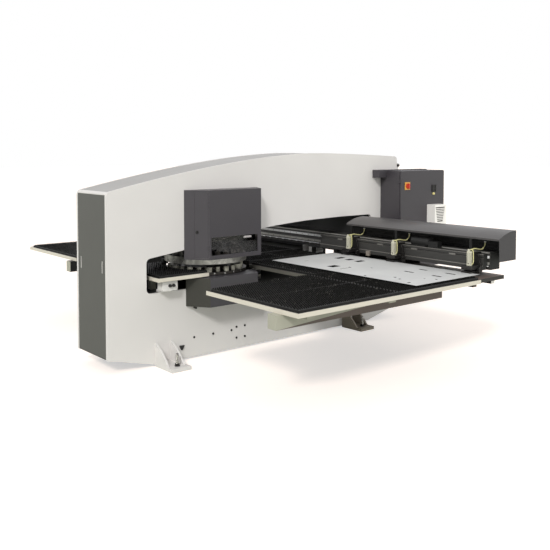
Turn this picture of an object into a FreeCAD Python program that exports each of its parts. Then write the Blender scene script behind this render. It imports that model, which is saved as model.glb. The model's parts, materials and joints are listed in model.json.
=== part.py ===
import FreeCAD, Part
import math
import os

os.makedirs("parts", exist_ok=True)

V = FreeCAD.Vector

# ---------------------------------------------------------------- driving sizes (mm)
# X runs along the frame from its left end, Y away from the operator's side, Z up from the floor.
frame_length = 4360.0
frame_depth = 670.0
plate = 30.0
frame_bottom = 20.0
cut_height = 155.0
cut_length = 550.0
left_top = 1852.0
peak_top = 2238.0
peak_x = 2850.0
right_top = 2186.0
corner_radius = 55.0
corner_steps = 4
arch_steps = 20
ceiling_steps = 12

throat_left = 455.0
throat_right = 3850.0
throat_floor = 775.0
throat_low_top = 1141.0
throat_high_top = 1427.0
throat_radius = 50.0
lining = 4.0

turret_x = 1430.0
turret_y = frame_depth / 2
turret_radius = 470.0
tool_circle = 400.0
station_count = 24
station_radii = (44.0, 27.0, 35.0, 27.0)
punch_x = turret_x + tool_circle
hub_radius = 90.0
striker_radius = 42.0
running_fit = 0.05
bore_sides = 12
disc_sides = 44
clearance = 0.3

upper_disc_low = 1023.0
upper_disc_high = 1100.0
disc_step = 22.0
disc_inset = 8.0
upper_boss_radius = 260.0
upper_boss_height = 28.0
upper_journal_top = 1300.0
punch_top = 1170.0
punch_head = 16.0
punch_head_inset = 10.0
shelf_low = 1420.0

sheet_low = 990.3
sheet_thick = 2.0
die_top = 985.0
die_low = 935.0
die_inset = 2.0
pocket_depth = 12.0
lower_disc_low = 905.0
lower_boss_radius = 250.0
lower_boss_height = 20.0
lower_journal_low = 800.0

edging_top = 950.0
edging_height = 39.0
edging_thick = 8.0
brush_top = 980.0
brush_inset = 32.0
module_gap = 4.0
table_left = 515.0
table_right = 3015.0
runway_right = 3465.0
front_reach = 2308.0
front_table_near = -front_reach
front_table_back = -998.0
inner_left = 1850.0
rear_reach = 2555.0
rear_table_near = frame_depth + 1135.0
rear_table_far = frame_depth + rear_reach
near_slot = (turret_y - 280.0, turret_y - 190.0)
far_slot = (turret_y + 190.0, turret_y + 280.0)
saddle_slot = (near_slot, far_slot)

beam_x0 = table_right + 315.0
beam_x1 = beam_x0 + 170.0
beam_low = 1005.0
beam_high = beam_low + 190.0
beam_near = 108.0 - front_reach
beam_far = 2 * turret_y - beam_near
beam_wall = 14.0
guard_height = 190.0
rail_reach = 20.0
rail_height = 25.0
rail_level = beam_low + 125.0
low_rail_level = beam_low + 57.0
rack_level = beam_low + 25.0
guide_x0 = turret_x + 530.0
guide_x1 = throat_right - 60.0
guide_top = throat_floor + 32.0
screw_y = near_slot[1] + 27.0
screw_z = throat_floor + 83.0

bar_x0 = beam_x0 - 108.0
bar_x1 = beam_x0 - 40.0
bar_low = beam_low + 10.0
bar_high = beam_high - 15.0
bar_near = beam_near + 10.0
bar_far = near_slot[0] + 245.0
first_clamp = bar_near + 95.0
second_clamp = first_clamp + 1047.0
third_clamp = second_clamp + 728.0
clamp_places = (first_clamp, second_clamp, third_clamp)
jaw_tip = bar_x0 - 180.0
jaw_pivot_x = bar_x0 - 57.0
jaw_pivot_z = sheet_low + 14.2
manifold_x = beam_x0 + 56.0
manifold_z = bar_high + 132.0
fitting_low = manifold_z - 24.0
hose_start = bar_x0 - 120.0
hose_level = bar_high + 48.0
hose_radius = 8.0

hood_front = beam_x0 - 88.0
hood_back = beam_x1 + 49.0
hood_low = beam_high - 80.0
hood_lip = beam_high + 158.0
hood_top = beam_high + 233.0
hood_near = beam_near - 166.0
hood_inner = -150.0
hood_skin = 4.0

cover_low = 1097.0
cover_high = cover_low + 750.0
cover_out = 230.0
cover_plan = ((turret_x - 510.0, 0.0), (turret_x - 335.0, -cover_out),
              (turret_x + 370.0, -cover_out), (turret_x + 487.0, 0.0))
housing_high = 900.0
housing_low = housing_high - 312.0
housing_out = 240.0
housing_plan = ((turret_x - 490.0, 0.0), (turret_x - 334.0, -housing_out),
                (turret_x + 316.0, -housing_out), (turret_x + 460.0, 0.0))
skin = 4.0

cabinet_x0 = frame_length - 326.0
cabinet_x1 = frame_length + 580.0
cabinet_front = -350.0
cabinet_low = 700.0
cabinet_high = 2000.0
door_thick = 22.0
door_inset = 6.0
hinge_x = cabinet_x0 - 2.0
hinge_y = cabinet_front - 9.0
hinge_inset = 120.0
hinge_pin = 4.0
knob_shaft = 8.0
hinge_levels = (cabinet_low + hinge_inset, cabinet_high - hinge_inset)

foot_width = 233.0
foot_reach = 340.0
foot_plate = 38.0
gusset = 22.0
gusset_place = 188.0
gusset_top = 246.0
foot_places = (550.0, 3319.0)
bolt_place = 119.0
bolt_reach = 245.0
bolt_radius = 12.5

# The model's origin lies on the floor, under the near left foot plate.
origin_x = foot_places[0] + foot_width / 2.0
origin_y = -foot_reach / 2.0


# ---------------------------------------------------------------- small helpers
def box(x0, x1, y0, y1, z0, z1):
    """A rectangular block between the given limits."""
    return Part.makeBox(x1 - x0, y1 - y0, z1 - z0, V(x0, y0, z0))


def post(x, y, z0, z1, r):
    """A round bar standing upright."""
    return Part.makeCylinder(r, z1 - z0, V(x, y, z0), V(0, 0, 1))


def ring_points(x, y, r, sides):
    """Corners of a regular outline round a point, for small round pieces that repeat."""
    out = []
    for i in range(sides):
        a = 2.0 * math.pi * (i + 0.5) / sides
        out.append((x + r * math.cos(a), y + r * math.sin(a)))
    return out


def bore_radius(pin, sides=bore_sides):
    """Corner radius of a many-sided bore whose flats just clear a round pin."""
    return (pin + running_fit) / math.cos(math.pi / sides)


def many_sided_post(x, y, z0, z1, r, sides):
    """An upright round piece made of flats."""
    return slab_xy(ring_points(x, y, r, sides), z0, z1)


def many_sided_bar(x, z, y0, y1, r, sides):
    """A round piece along Y made of flats."""
    return slab_xz(ring_points(x, z, r, sides), y0, y1)


def face_xz(points, y):
    """A flat face in a plane of constant Y from a closed list of (x, z) corners."""
    loop = [V(px, y, pz) for px, pz in points]
    return Part.Face(Part.makePolygon(loop + [loop[0]]))


def slab_xz(points, y0, y1):
    """The outline of (x, z) corners made thick along Y."""
    return face_xz(points, y0).extrude(V(0, y1 - y0, 0))


def slab_yz(points, x0, x1):
    """The outline of (y, z) corners made thick along X."""
    loop = [V(x0, py, pz) for py, pz in points]
    return Part.Face(Part.makePolygon(loop + [loop[0]])).extrude(V(x1 - x0, 0, 0))


def slab_xy(points, z0, z1):
    """The outline of (x, y) corners made thick along Z."""
    loop = [V(px, py, z0) for px, py in points]
    return Part.Face(Part.makePolygon(loop + [loop[0]])).extrude(V(0, 0, z1 - z0))


def group(solids):
    """Separate solids that share one node."""
    return Part.makeCompound(solids)


def joined(solids):
    """Touching solids made one, with the seams between flush faces taken out."""
    whole = solids[0]
    for extra in solids[1:]:
        whole = whole.fuse(extra)
    return whole.removeSplitter()


def mirror_y(shape):
    """The same piece on the other side of the frame."""
    return shape.mirror(V(0, turret_y, 0), V(0, 1, 0))


def save(shape, name):
    """Write one sub-part, moved so that the origin lies under the near left foot."""
    moved = shape.copy()
    moved.translate(V(-origin_x, -origin_y, 0.0))
    moved.exportStep("parts/" + name + ".step")


# ---------------------------------------------------------------- frame outline
def arch(x):
    """Height of the frame's arched top edge at x."""
    if x <= peak_x:
        u = 1.0 - x / peak_x
        return peak_top - (peak_top - left_top) * u ** 1.63
    u = (x - peak_x) / (frame_length - peak_x)
    return peak_top - (peak_top - right_top) * u ** 1.45


def ceiling(x):
    """Height of the throat's top edge at x: low over the turret, high over the beam."""
    shape = ((0.0, 0.0), (0.07, 0.11), (0.13, 0.18), (0.29, 0.50), (0.45, 0.79),
             (0.64, 0.95), (0.82, 1.0), (1.0, 1.0))
    t = (x - throat_left) / (throat_right - throat_left)
    for (t0, f0), (t1, f1) in zip(shape, shape[1:]):
        if t <= t1:
            f = f0 + (f1 - f0) * (t - t0) / (t1 - t0)
            return throat_low_top + (throat_high_top - throat_low_top) * f
    return throat_high_top


def arch_points(x0, x1, drop, steps):
    """Points along the arched edge, lowered by drop."""
    out = []
    for i in range(steps + 1):
        x = x0 + (x1 - x0) * i / steps
        out.append((x, arch(x) - drop))
    return out


def corner(cx, cz, r, a0, a1):
    """Points round a corner of radius r, in (x, z), from angle a0 to a1 in degrees."""
    out = []
    for i in range(corner_steps + 1):
        a = math.radians(a0 + (a1 - a0) * i / corner_steps)
        out.append((cx + r * math.cos(a), cz + r * math.sin(a)))
    return out


def outline():
    """The side plate's outline: cut-up bottom corners and an arched top."""
    r = corner_radius
    pts = [(cut_length, frame_bottom), (frame_length - cut_length, frame_bottom)]
    pts.append((frame_length, cut_height))
    pts += corner(frame_length - r, right_top + 4.0 - r, r, 0.0, 80.0)
    pts += list(reversed(arch_points(r, frame_length - 2.0 * r, 0.0, arch_steps)))
    pts += corner(r, arch(r) - r, r, 105.0, 180.0)
    pts.append((0.0, cut_height))
    return pts


def throat_points(shrink):
    """The throat's outline, made smaller all round by shrink."""
    left = throat_left + shrink
    right = throat_right - shrink
    low = throat_floor + shrink
    r = throat_radius - shrink
    a = throat_left + throat_radius
    b = throat_right - throat_radius
    pts = corner(left + r, low + r, r, 180.0, 270.0)
    pts += corner(right - r, low + r, r, 270.0, 360.0)
    pts += corner(right - r, ceiling(b) - shrink - r, r, 0.0, 90.0)
    for i in range(1, ceiling_steps):
        x = b + (a - b) * i / ceiling_steps
        pts.append((x, ceiling(x) - shrink))
    pts += corner(left + r, ceiling(a) - shrink - r, r, 90.0, 180.0)
    return pts


# ---------------------------------------------------------------- frame
def side_plate(y0):
    """One arched side plate with the throat cut through it."""
    solid = slab_xz(outline(), y0, y0 + plate)
    return solid.cut(slab_xz(throat_points(0.0), y0 - 1.0, y0 + plate + 1.0))


cover_drop = 5.0
cover_ends = (42.0, frame_length - 60.0)


def top_cover():
    """The bent sheet that closes the arch between the side plates."""
    thick = 6.0
    top = arch_points(cover_ends[0], cover_ends[1], cover_drop, arch_steps)
    low = arch_points(cover_ends[0], cover_ends[1], cover_drop + thick, arch_steps)
    return slab_xz(top + list(reversed(low)), plate, frame_depth - plate)


panel_tops = (left_top - 26.0, right_top - 88.0)
pull_places = (98.0, 572.0)


def end_panel(x0, x1, back_x, z_top):
    """A flat end panel between the side plates, with two slit pulls backed by pockets."""
    body = box(x0, x1, plate, frame_depth - plate, cut_height + 8.0, z_top)
    for y in pull_places:
        body = body.cut(box(x0 - 1.0, x1 + 1.0, y - 4.0, y + 4.0, 1035.0, 1150.0))
    pockets = [box(back_x, back_x + 4.0, y - 12.0, y + 12.0, 1020.0, 1165.0) for y in pull_places]
    return joined([body] + pockets)


def end_panels():
    left = end_panel(2.0, 6.0, 6.0, panel_tops[0])
    right = end_panel(frame_length - 6.0, frame_length - 2.0, frame_length - 10.0, panel_tops[1])
    return group([left, right])


def end_trims():
    """The light folded strips between the end panels and the arched cover."""
    y0 = plate
    y1 = frame_depth - plate
    low = panel_tops[0]
    edge = cover_ends[0]
    top = arch(edge) - cover_drop
    left = slab_xz([(2.0, low), (30.0, low), (30.0, low + 6.0), (8.0, low + 6.0),
                    (edge, top - 5.0), (edge, top), (2.0, low + 12.0)], y0, y1)
    x = frame_length
    edge = cover_ends[1]
    top = arch(edge) - cover_drop
    low = panel_tops[1]
    right = slab_xz([(x - 2.0, low), (x - 8.0, low), (x - 8.0, top - 26.0), (edge, top - 6.0), (edge, top),
                     (x - 2.0, top - 22.0)], y0, y1)
    return group([left, right])


lining_joints = (turret_x - 350.0, turret_x - 190.0, turret_x + 570.0, turret_x + 1030.0, turret_x + 1570.0)
shelf_opening = (turret_x - 180.0, turret_x + 560.0)


def frame_linings():
    """Throat lining in sheet sections, and the bottom closing sheet, between the side plates."""
    y0 = plate
    y1 = frame_depth - plate
    ring = slab_xz(throat_points(0.0), y0, y1).cut(slab_xz(throat_points(lining), y0 - 1.0, y1 + 1.0))
    mid = (throat_floor + throat_low_top) / 2.0
    left = throat_left + throat_radius
    right = throat_right - throat_radius
    cells = [(left, right, throat_floor - 1.0, mid), (throat_left - 1.0, left, throat_floor - 1.0, peak_top),
             (right, throat_right + 1.0, throat_floor - 1.0, peak_top)]
    stops = (left,) + lining_joints + (right,)
    for x0, x1 in zip(stops, stops[1:]):
        cells.append((x0, x1, mid, peak_top))
    sections = []
    for x0, x1, z0, z1 in cells:
        section = ring.common(box(x0, x1, y0, y1, z0, z1))
        if (x0 + x1) / 2.0 > shelf_opening[0] and (x0 + x1) / 2.0 < shelf_opening[1] and z0 == mid:
            middle = box(x0 - 1.0, x1 + 1.0, turret_y - 190.0, turret_y + 190.0, z0, z1)
            section = section.cut(middle)
        sections += section.Solids
    t = 4.0
    x = frame_length
    c = cut_length
    low = [(2.0, cut_height + 2.0), (c, frame_bottom + 3.0), (x - c, frame_bottom + 3.0),
           (x - 2.0, cut_height + 2.0), (x - 2.0, cut_height + 2.0 + t), (x - c, frame_bottom + 3.0 + t),
           (c, frame_bottom + 3.0 + t), (2.0, cut_height + 2.0 + t)]
    return group(sections + [slab_xz(low, y0, y1)])


def frame_webs():
    """Cross webs that tie the side plates together, and the shelf over the turret."""
    y0 = plate
    y1 = frame_depth - plate
    t = 20.0
    solids = []
    for x in (throat_left - 120.0, throat_right + 160.0):
        solids.append(box(x, x + t, y0, y1, cut_height + 40.0, arch(x) - 30.0))
    for x in (throat_left + 305.0, turret_x + 870.0, turret_x + 1570.0, throat_right - 250.0):
        solids.append(box(x, x + t, y0, y1, ceiling(x) + 30.0, arch(x) - 30.0))
        solids.append(box(x, x + t, y0, y1, frame_bottom + 20.0, throat_floor - 12.0))
    shelf_x0 = turret_x - 300.0
    shelf_x1 = punch_x + 180.0
    shelf = box(shelf_x0, shelf_x1, y0, y1, shelf_low, shelf_low + 30.0)
    ribs = [box(x, x + t, y0, y1, shelf_low, arch(x) - 40.0) for x in (shelf_x0, shelf_x1 - t)]
    solids.append(joined([shelf] + ribs))
    return group(solids)


def one_foot(x0):
    """A base plate on the floor, and two curved gussets welded to the side plate's face."""
    base = box(x0, x0 + foot_width, -foot_reach, 0.0, 0.0, foot_plate)
    hole = many_sided_post(x0 + bolt_place, -bolt_reach, -1.0, foot_plate + 1.0, bolt_radius + 4.0, 8)
    low = foot_plate + 8.0
    high = gusset_top - low
    side = [(0.0, foot_plate), (-252.0, foot_plate), (-252.0, low), (-196.0, low + 0.32 * high),
            (-110.0, low + 0.70 * high), (-6.0, gusset_top), (0.0, gusset_top)]
    near = slab_yz(side, x0, x0 + gusset)
    far = slab_yz(side, x0 + gusset_place, x0 + gusset_place + gusset)
    return [base.cut(hole), near, far]


def levelling_feet():
    solids = []
    for x0 in foot_places:
        for piece in one_foot(x0):
            solids.append(piece)
            solids.append(mirror_y(piece))
    return group(solids)


def levelling_bolts():
    """A threaded post through each foot, with a washer and a nut."""
    solids = []
    for x0 in foot_places:
        x = x0 + bolt_place
        y = -bolt_reach
        washer_top = foot_plate + 5.0
        rod = many_sided_post(x, y, 6.0, foot_plate + 130.0, bolt_radius, 8)
        washer = many_sided_post(x, y, foot_plate, washer_top, 30.0, 10)
        nut = many_sided_post(x, y, washer_top, washer_top + 22.0, 24.0, 6)
        bolt = joined([rod, washer, nut])
        solids.append(bolt)
        solids.append(mirror_y(bolt))
    return group(solids)


lug_high = 2095.0
lug_low = 1985.0
lug_out = 34.0
lug_half = 12.0


def face_plugs():
    """Small plugs on the front plate, a three-cornered plug, and the bolts of the lifting lugs."""
    solids = []
    for x, z in ((1043.0, 233.0), (1296.0, 233.0), (1549.0, 233.0), (1621.0, 260.0),
                 (1741.0, 260.0), (1621.0, 135.0), (1741.0, 135.0)):
        solids.append(many_sided_bar(x, z, -5.0, 0.0, 13.0, 8))
    x = 880.0
    z = 151.0
    tri = [(x - 32.0, z + 18.0), (x + 32.0, z + 18.0), (x + 8.0, z - 30.0), (x - 8.0, z - 30.0)]
    solids.append(slab_xz(tri, -14.0, 0.0))
    solids.append(many_sided_bar(1044.0, 562.0, -46.0, 0.0, 11.0, 8))
    lug_face = plate / 2.0 - lug_half
    head = many_sided_bar(frame_length + 20.0, lug_high - 30.0, -16.0, lug_face, 19.0, 10)
    solids.append(head)
    solids.append(mirror_y(head))
    return group(solids)


def lifting_lugs():
    """Two lugs at the frame's right shoulder, each with a bolt through it."""
    solids = []
    for y in (plate / 2.0, frame_depth - plate / 2.0):
        far = frame_length + lug_out
        solids.append(box(frame_length, far, y - lug_half, y + lug_half, lug_low, lug_high))
    return group(solids)


# ---------------------------------------------------------------- turret covers
def inset(plan, t):
    """The plan of a cover made smaller by the sheet's thickness, open at the back."""
    (ax, ay), (bx, by), (cx, cy), (dx, dy) = plan
    return ((ax + t * 1.26, ay + 1.0), (bx + t * 0.5, by + t),
            (cx - t * 0.6, cy + t), (dx - t * 1.15, dy + 1.0))


door_split = 0.42
window = (cover_plan[1][0] + 23.0, cover_plan[2][0] - 45.0, cover_low + 45.0, cover_low + 241.0)
side_length = math.hypot(cover_plan[1][0] - cover_plan[0][0], cover_plan[1][1] - cover_plan[0][1])
side_ux = (cover_plan[1][0] - cover_plan[0][0]) / side_length
side_uy = (cover_plan[1][1] - cover_plan[0][1]) / side_length
door_back = door_split * side_length
door_front = side_length - 14.0
door_gap = 1.5
door_hinge = (door_front + 3.0, 6.0)
door_hinge_levels = (cover_low + 133.0, cover_high - 147.0)
lock_place = door_back + 26.0
lock_z = cover_low + 300.0


def on_side(s, n):
    """Plan point on the cover's angled side: s from its back edge, n outwards."""
    return (cover_plan[0][0] + side_ux * s + side_uy * n, cover_plan[0][1] + side_uy * s - side_ux * n)


def side_block(s0, s1, n0, n1, z0, z1):
    """A block set square to the cover's angled side."""
    return slab_xy([on_side(s0, n0), on_side(s1, n0), on_side(s1, n1), on_side(s0, n1)], z0, z1)


def side_flats(s, n, z0, z1, r):
    x, y = on_side(s, n)
    return many_sided_post(x, y, z0, z1, r, 10)


def side_bar(s, n0, n1, z, r, sides):
    """A piece made of flats, square to the angled side, from n0 out to n1."""
    loop = []
    for ds, dz in ring_points(0.0, 0.0, r, sides):
        x, y = on_side(s + ds, n0)
        loop.append(V(x, y, z + dz))
    face = Part.Face(Part.makePolygon(loop + [loop[0]]))
    return face.extrude(V(side_uy, -side_ux, 0.0) * (n1 - n0))


def shell(plan, z0, z1, open_bottom, open_top):
    """A folded sheet cover with its back open towards the side plate."""
    outer = slab_xy(plan, z0, z1)
    low = z0 - 1.0 if open_bottom else z0 + skin
    high = z1 + 1.0 if open_top else z1 - skin
    return outer.cut(slab_xy(inset(plan, skin), low, high))


def cover_back():
    """The cover's back sheet, which follows the throat's edge along its foot."""
    x0 = cover_plan[0][0] + 8.0
    x1 = cover_plan[3][0] - 8.0
    high = cover_high - skin
    foot = []
    for i in range(5):
        x = x1 + (x0 - x1) * i / 4.0
        foot.append((x, ceiling(x) + 6.0))
    return slab_xz([(x0, high), (x1, high)] + foot, -skin, 0.0)


def turret_cover():
    """Front cover over the turret, with the window and the side door cut out."""
    body = shell(cover_plan, cover_low, cover_high, True, False)
    x0, x1, z0, z1 = window
    front = cover_plan[1][1]
    body = body.cut(box(x0, x1, front - 1.0, front + skin + 1.0, z0, z1))
    body = body.cut(side_block(door_back - door_gap, door_front + door_gap, -14.0, 3.0, cover_low + 14.5,
                               cover_high - 14.5))
    hinges = []
    for z in door_hinge_levels:
        hinges.append(side_flats(door_hinge[0], door_hinge[1], z - 30.0, z, 5.0))
        hinges.append(side_flats(door_hinge[0], door_hinge[1], z, z + 26.0, 2.5))
        hinges.append(side_block(door_hinge[0], side_length - 3.0, 0.0, 3.0, z - 30.0, z))
    lip = 14.0
    y = front + skin
    rim = box(x0 - lip, x1 + lip, y, y + 12.0, z0 - lip, z1 + lip)
    rim = rim.cut(box(x0, x1, y - 1.0, y + 13.0, z0, z1))
    return joined([body, rim, cover_back()] + hinges)


def cover_window():
    """Clear pane behind the window's rim."""
    x0, x1, z0, z1 = window
    y = cover_plan[1][1] + skin + 12.0
    return box(x0 - 10.0, x1 + 10.0, y, y + 5.0, z0 - 10.0, z1 + 10.0)


def cover_door():
    """Narrow door in the cover's angled side, hinged at the front corner, with folded edges."""
    z0 = cover_low + 16.0
    z1 = cover_high - 16.0
    leaf = side_block(door_back, door_front, -skin, 0.0, z0, z1)
    fold = side_block(door_back, door_back + 3.0, -12.0, -skin, z0, z1)
    boss = side_block(lock_place - 14.0, lock_place + 14.0, -10.0, -skin, lock_z - 14.0, lock_z + 14.0)
    knuckles = []
    for z in door_hinge_levels:
        knuckles.append(side_flats(door_hinge[0], door_hinge[1], z + clearance, z + 28.0, 5.0))
        knuckles.append(side_block(door_front - 16.0, door_hinge[0], 0.0, 4.0, z + clearance, z + 28.0))
    leaf = joined([leaf, fold, boss] + knuckles)
    for z in door_hinge_levels:
        bore_x, bore_y = on_side(door_hinge[0], door_hinge[1])
        leaf = leaf.cut(many_sided_post(bore_x, bore_y, z - 1.0, z + 29.0, bore_radius(2.5), bore_sides))
    return leaf.cut(side_bar(lock_place, -12.0, 2.0, lock_z, bore_radius(10.0), bore_sides))


def cover_lock():
    """Quarter-turn lock in the door: a barrel with a raised grip bar outside."""
    barrel = side_bar(lock_place, -10.0, 1.0, lock_z, 10.0, bore_sides)
    dial = side_bar(lock_place, clearance, 6.0, lock_z, 17.0, 12)
    grip = side_block(lock_place - 4.0, lock_place + 4.0, 6.0, 18.0, lock_z - 16.0, lock_z + 16.0)
    return joined([barrel, dial, grip])


def cover_lamp():
    """Strip lamp under the front plate's edge, seen through the window."""
    return box(turret_x + 130.0, turret_x + 230.0, -70.0, -skin, 1344.0, 1362.0)


def rear_covers():
    """Plain covers over the turret at the rear."""
    upper = shell(cover_plan, cover_low, cover_high, True, False)
    lower = shell(housing_plan, housing_low, housing_high, False, False)
    return group([mirror_y(upper), mirror_y(lower)])


def lower_housing():
    """Front housing below the lower turret, with a stepped top band."""
    body = shell(housing_plan, housing_low, housing_high, False, False)
    (ax, ay), (bx, by), (cx, cy), (dx, dy) = housing_plan
    groove = box(bx + 6.0, cx - 6.0, by - 1.0, by + 1.2, housing_high - 96.0, housing_high - 92.0)
    return body.cut(groove)


# ---------------------------------------------------------------- turret
def station_angles():
    return [math.radians(360.0 * i / station_count) for i in range(station_count)]


def station_places():
    """Centre and radius of every tool station; large and small stations alternate."""
    out = []
    for i, a in enumerate(station_angles()):
        x = turret_x + tool_circle * math.cos(a)
        y = turret_y + tool_circle * math.sin(a)
        out.append((x, y, station_radii[i % len(station_radii)]))
    return out


def disc(z0, z1, r):
    """A large turret disc."""
    return many_sided_post(turret_x, turret_y, z0, z1, r, disc_sides)


def upper_turret():
    """Upper disc with a stepped rim, a raised boss and a journal."""
    step = upper_disc_high - disc_step
    boss_top = upper_disc_high + upper_boss_height
    rim = disc(upper_disc_low, step, turret_radius)
    top = disc(step, upper_disc_high, turret_radius - disc_inset)
    boss = many_sided_post(turret_x, turret_y, upper_disc_high, boss_top, upper_boss_radius, 20)
    journal = post(turret_x, turret_y, boss_top, upper_journal_top, hub_radius)
    return joined([rim, top, boss, journal])


def punch_holders():
    """A ring of punch holders, each a guide with a narrower striking head."""
    solids = []
    neck = punch_top - punch_head
    for x, y, r in station_places():
        guide = many_sided_post(x, y, upper_disc_high, neck, r, 8)
        head = many_sided_post(x, y, neck, punch_top, r - punch_head_inset, 8)
        solids.append(joined([guide, head]))
    return group(solids)


def lower_turret():
    """Lower disc with a journal that turns in the pedestal."""
    plate_disc = disc(lower_disc_low, die_low, turret_radius)
    boss = many_sided_post(turret_x, turret_y, die_low, die_low + lower_boss_height, lower_boss_radius, 20)
    journal = post(turret_x, turret_y, lower_journal_low, lower_disc_low, hub_radius)
    return joined([plate_disc, boss, journal])


def die_holders():
    """A ring of die holders under the punches, each with a die pocket in its top."""
    solids = []
    for x, y, r in station_places():
        body = many_sided_post(x, y, die_low, die_top, r - die_inset, 8)
        pocket = many_sided_post(x, y, die_top - pocket_depth, die_top + 1.0, 0.5 * r, 6)
        solids.append(body.cut(pocket))
    return group(solids)


pedestal_high = 890.0


def turret_bearings():
    """Bearing housing under the shelf, and the pedestal on the throat floor."""
    upper_low = upper_disc_high + 40.0
    upper = many_sided_post(turret_x, turret_y, upper_low, shelf_low, 150.0, 16)
    bore = bore_radius(hub_radius, 24)
    top = upper_journal_top + 20.0
    upper = upper.cut(many_sided_post(turret_x, turret_y, upper_low - 1.0, top, bore, 24))
    lower = many_sided_post(turret_x, turret_y, throat_floor + lining, pedestal_high, 220.0, 16)
    low = lower_journal_low - 10.0
    lower = lower.cut(many_sided_post(turret_x, turret_y, low, pedestal_high + 1.0, bore, 24))
    return group([upper, lower])


ram_low = 1240.0
ram_bore_top = 1400.0
striker_shoulder = 1228.0
striker_stroke_gap = 41.0


def ram_cylinder():
    """Hydraulic cylinder over the punching station, flanged to the shelf."""
    x = punch_x
    y = turret_y
    flange_low = shelf_low - 30.0
    nose_top = ram_low + 22.0
    flange = many_sided_post(x, y, flange_low, shelf_low, 118.0, 16)
    barrel = many_sided_post(x, y, nose_top, flange_low, 104.0, 16)
    nose = many_sided_post(x, y, ram_low, nose_top, 76.0, 16)
    body = joined([flange, barrel, nose])
    bore = bore_radius(striker_radius, 16)
    return body.cut(many_sided_post(x, y, ram_low - 1.0, ram_bore_top, bore, 16))


def striker():
    """Ram rod with a wider striking head."""
    rod = post(punch_x, turret_y, striker_shoulder, ram_bore_top - 50.0, striker_radius)
    head = many_sided_post(punch_x, turret_y, punch_top + striker_stroke_gap, striker_shoulder,
                           striker_radius + 10.0, 16)
    return joined([rod, head])


def turret_motor():
    """Gear motor for the turret, on the rear plate inside the rear cover."""
    x = turret_x - 230.0
    y = frame_depth
    gearbox_top = 1400.0
    motor_top = gearbox_top + 240.0
    gearbox = box(x - 80.0, x + 80.0, y, y + 130.0, gearbox_top - 100.0, gearbox_top)
    motor = many_sided_post(x, y + 68.0, gearbox_top, motor_top, 62.0, 16)
    cap = many_sided_post(x, y + 68.0, motor_top, motor_top + 28.0, 50.0, 16)
    return joined([gearbox, motor, cap])


# ---------------------------------------------------------------- tables
tray_low = edging_top - edging_height


def edge_strip(x0, x1, y0, y1):
    return box(x0, x1, y0, y1, tray_low, edging_top)


tray_sheet = 4.0
rib_pitch = 900.0


def pan(x0, x1, y0, y1, top):
    """A folded steel tray: top sheet, rims all round and stiffening ribs below."""
    body = box(x0, x1, y0, y1, tray_low, top)
    count = max(1, int(round((x1 - x0) / rib_pitch)))
    wide = (x1 - x0 - tray_sheet) / count
    for i in range(count):
        cell_x = x0 + tray_sheet + wide * i
        body = body.cut(box(cell_x, cell_x + wide - tray_sheet, y0 + tray_sheet, y1 - tray_sheet,
                            tray_low - 1.0, top - tray_sheet))
    return body


def table_trays():
    """Steel trays under the brush fields, and the bare runway under the clamps."""
    e = edging_thick
    top = edging_top - 2.0
    side = slab_xy(throat_table_plan(e), tray_low, top)
    return group([
        pan(table_left + e, table_right, front_table_near + e, front_table_back, top),
        pan(inner_left + e, table_right, front_table_back, saddle_slot[0][0], top),
        pan(turret_x + turret_radius + 16.0, table_right, saddle_slot[0][1], saddle_slot[1][0], top),
        pan(inner_left + e, table_right, saddle_slot[1][1], rear_table_near + e, top),
        pan(table_left + e, table_right, rear_table_near + e, rear_table_far - e, top),
        pan(table_right, runway_right, front_table_near + 28.0, saddle_slot[0][0] - 90.0, edging_top),
        pan(table_right, runway_right, saddle_slot[1][1] + 90.0, rear_table_far - 28.0, edging_top),
        side,
    ])


throat_table_front = turret_y - turret_radius - 7.0
throat_table_right = turret_x - 284.0


def throat_table_plan(e):
    """Plan of the small table left of the turret, hollowed round the lower disc."""
    pts = [(table_left + e, throat_table_front + e), (throat_table_right, throat_table_front + e)]
    r = turret_radius + 14.0
    start = math.asin((turret_x - throat_table_right) / r)
    far = 2.0 * turret_y - throat_table_front - e
    for i in range(13):
        a = start + (math.pi - 2.0 * start) * i / 12.0
        pts.append((turret_x - r * math.sin(a), turret_y - r * math.cos(a)))
    pts.append((throat_table_right, far))
    pts.append((table_left + e, far))
    return pts


def brush_modules(x0, x1, y0, y1, columns, rows):
    """Brush blocks side by side, with a narrow seam between them."""
    solids = []
    wide = (x1 - x0) / columns
    deep = (y1 - y0) / rows
    for i in range(columns):
        for j in range(rows):
            solids.append(box(x0 + wide * i + module_gap / 2.0, x0 + wide * (i + 1) - module_gap / 2.0,
                              y0 + deep * j + module_gap / 2.0, y0 + deep * (j + 1) - module_gap / 2.0,
                              edging_top - 2.0, brush_top))
    return solids


def table_brushes():
    """Brush fields of the front, rear and throat tables, in modules with narrow seams."""
    i = brush_inset
    solids = brush_modules(table_left + i, table_right, front_table_near + i, front_table_back - i, 4, 2)
    solids += brush_modules(inner_left + i, table_right, front_table_back - i, saddle_slot[0][0], 2, 2)
    solids += brush_modules(table_left + i, table_right, rear_table_near + i, rear_table_far - i, 4, 2)
    solids += brush_modules(inner_left + i, table_right, saddle_slot[1][1], rear_table_near + i, 2, 2)
    middle_left = turret_x + turret_radius + 20.0
    solids += brush_modules(middle_left, table_right, saddle_slot[0][1], saddle_slot[1][0], 2, 1)
    side = slab_xy(throat_table_plan(brush_inset), edging_top - 2.0, brush_top)
    half = module_gap / 2.0
    seam = box(table_left, turret_x, turret_y - half, turret_y + half, edging_top - 3.0, brush_top + 1.0)
    solids.append(side.cut(seam))
    return group(solids)


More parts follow.
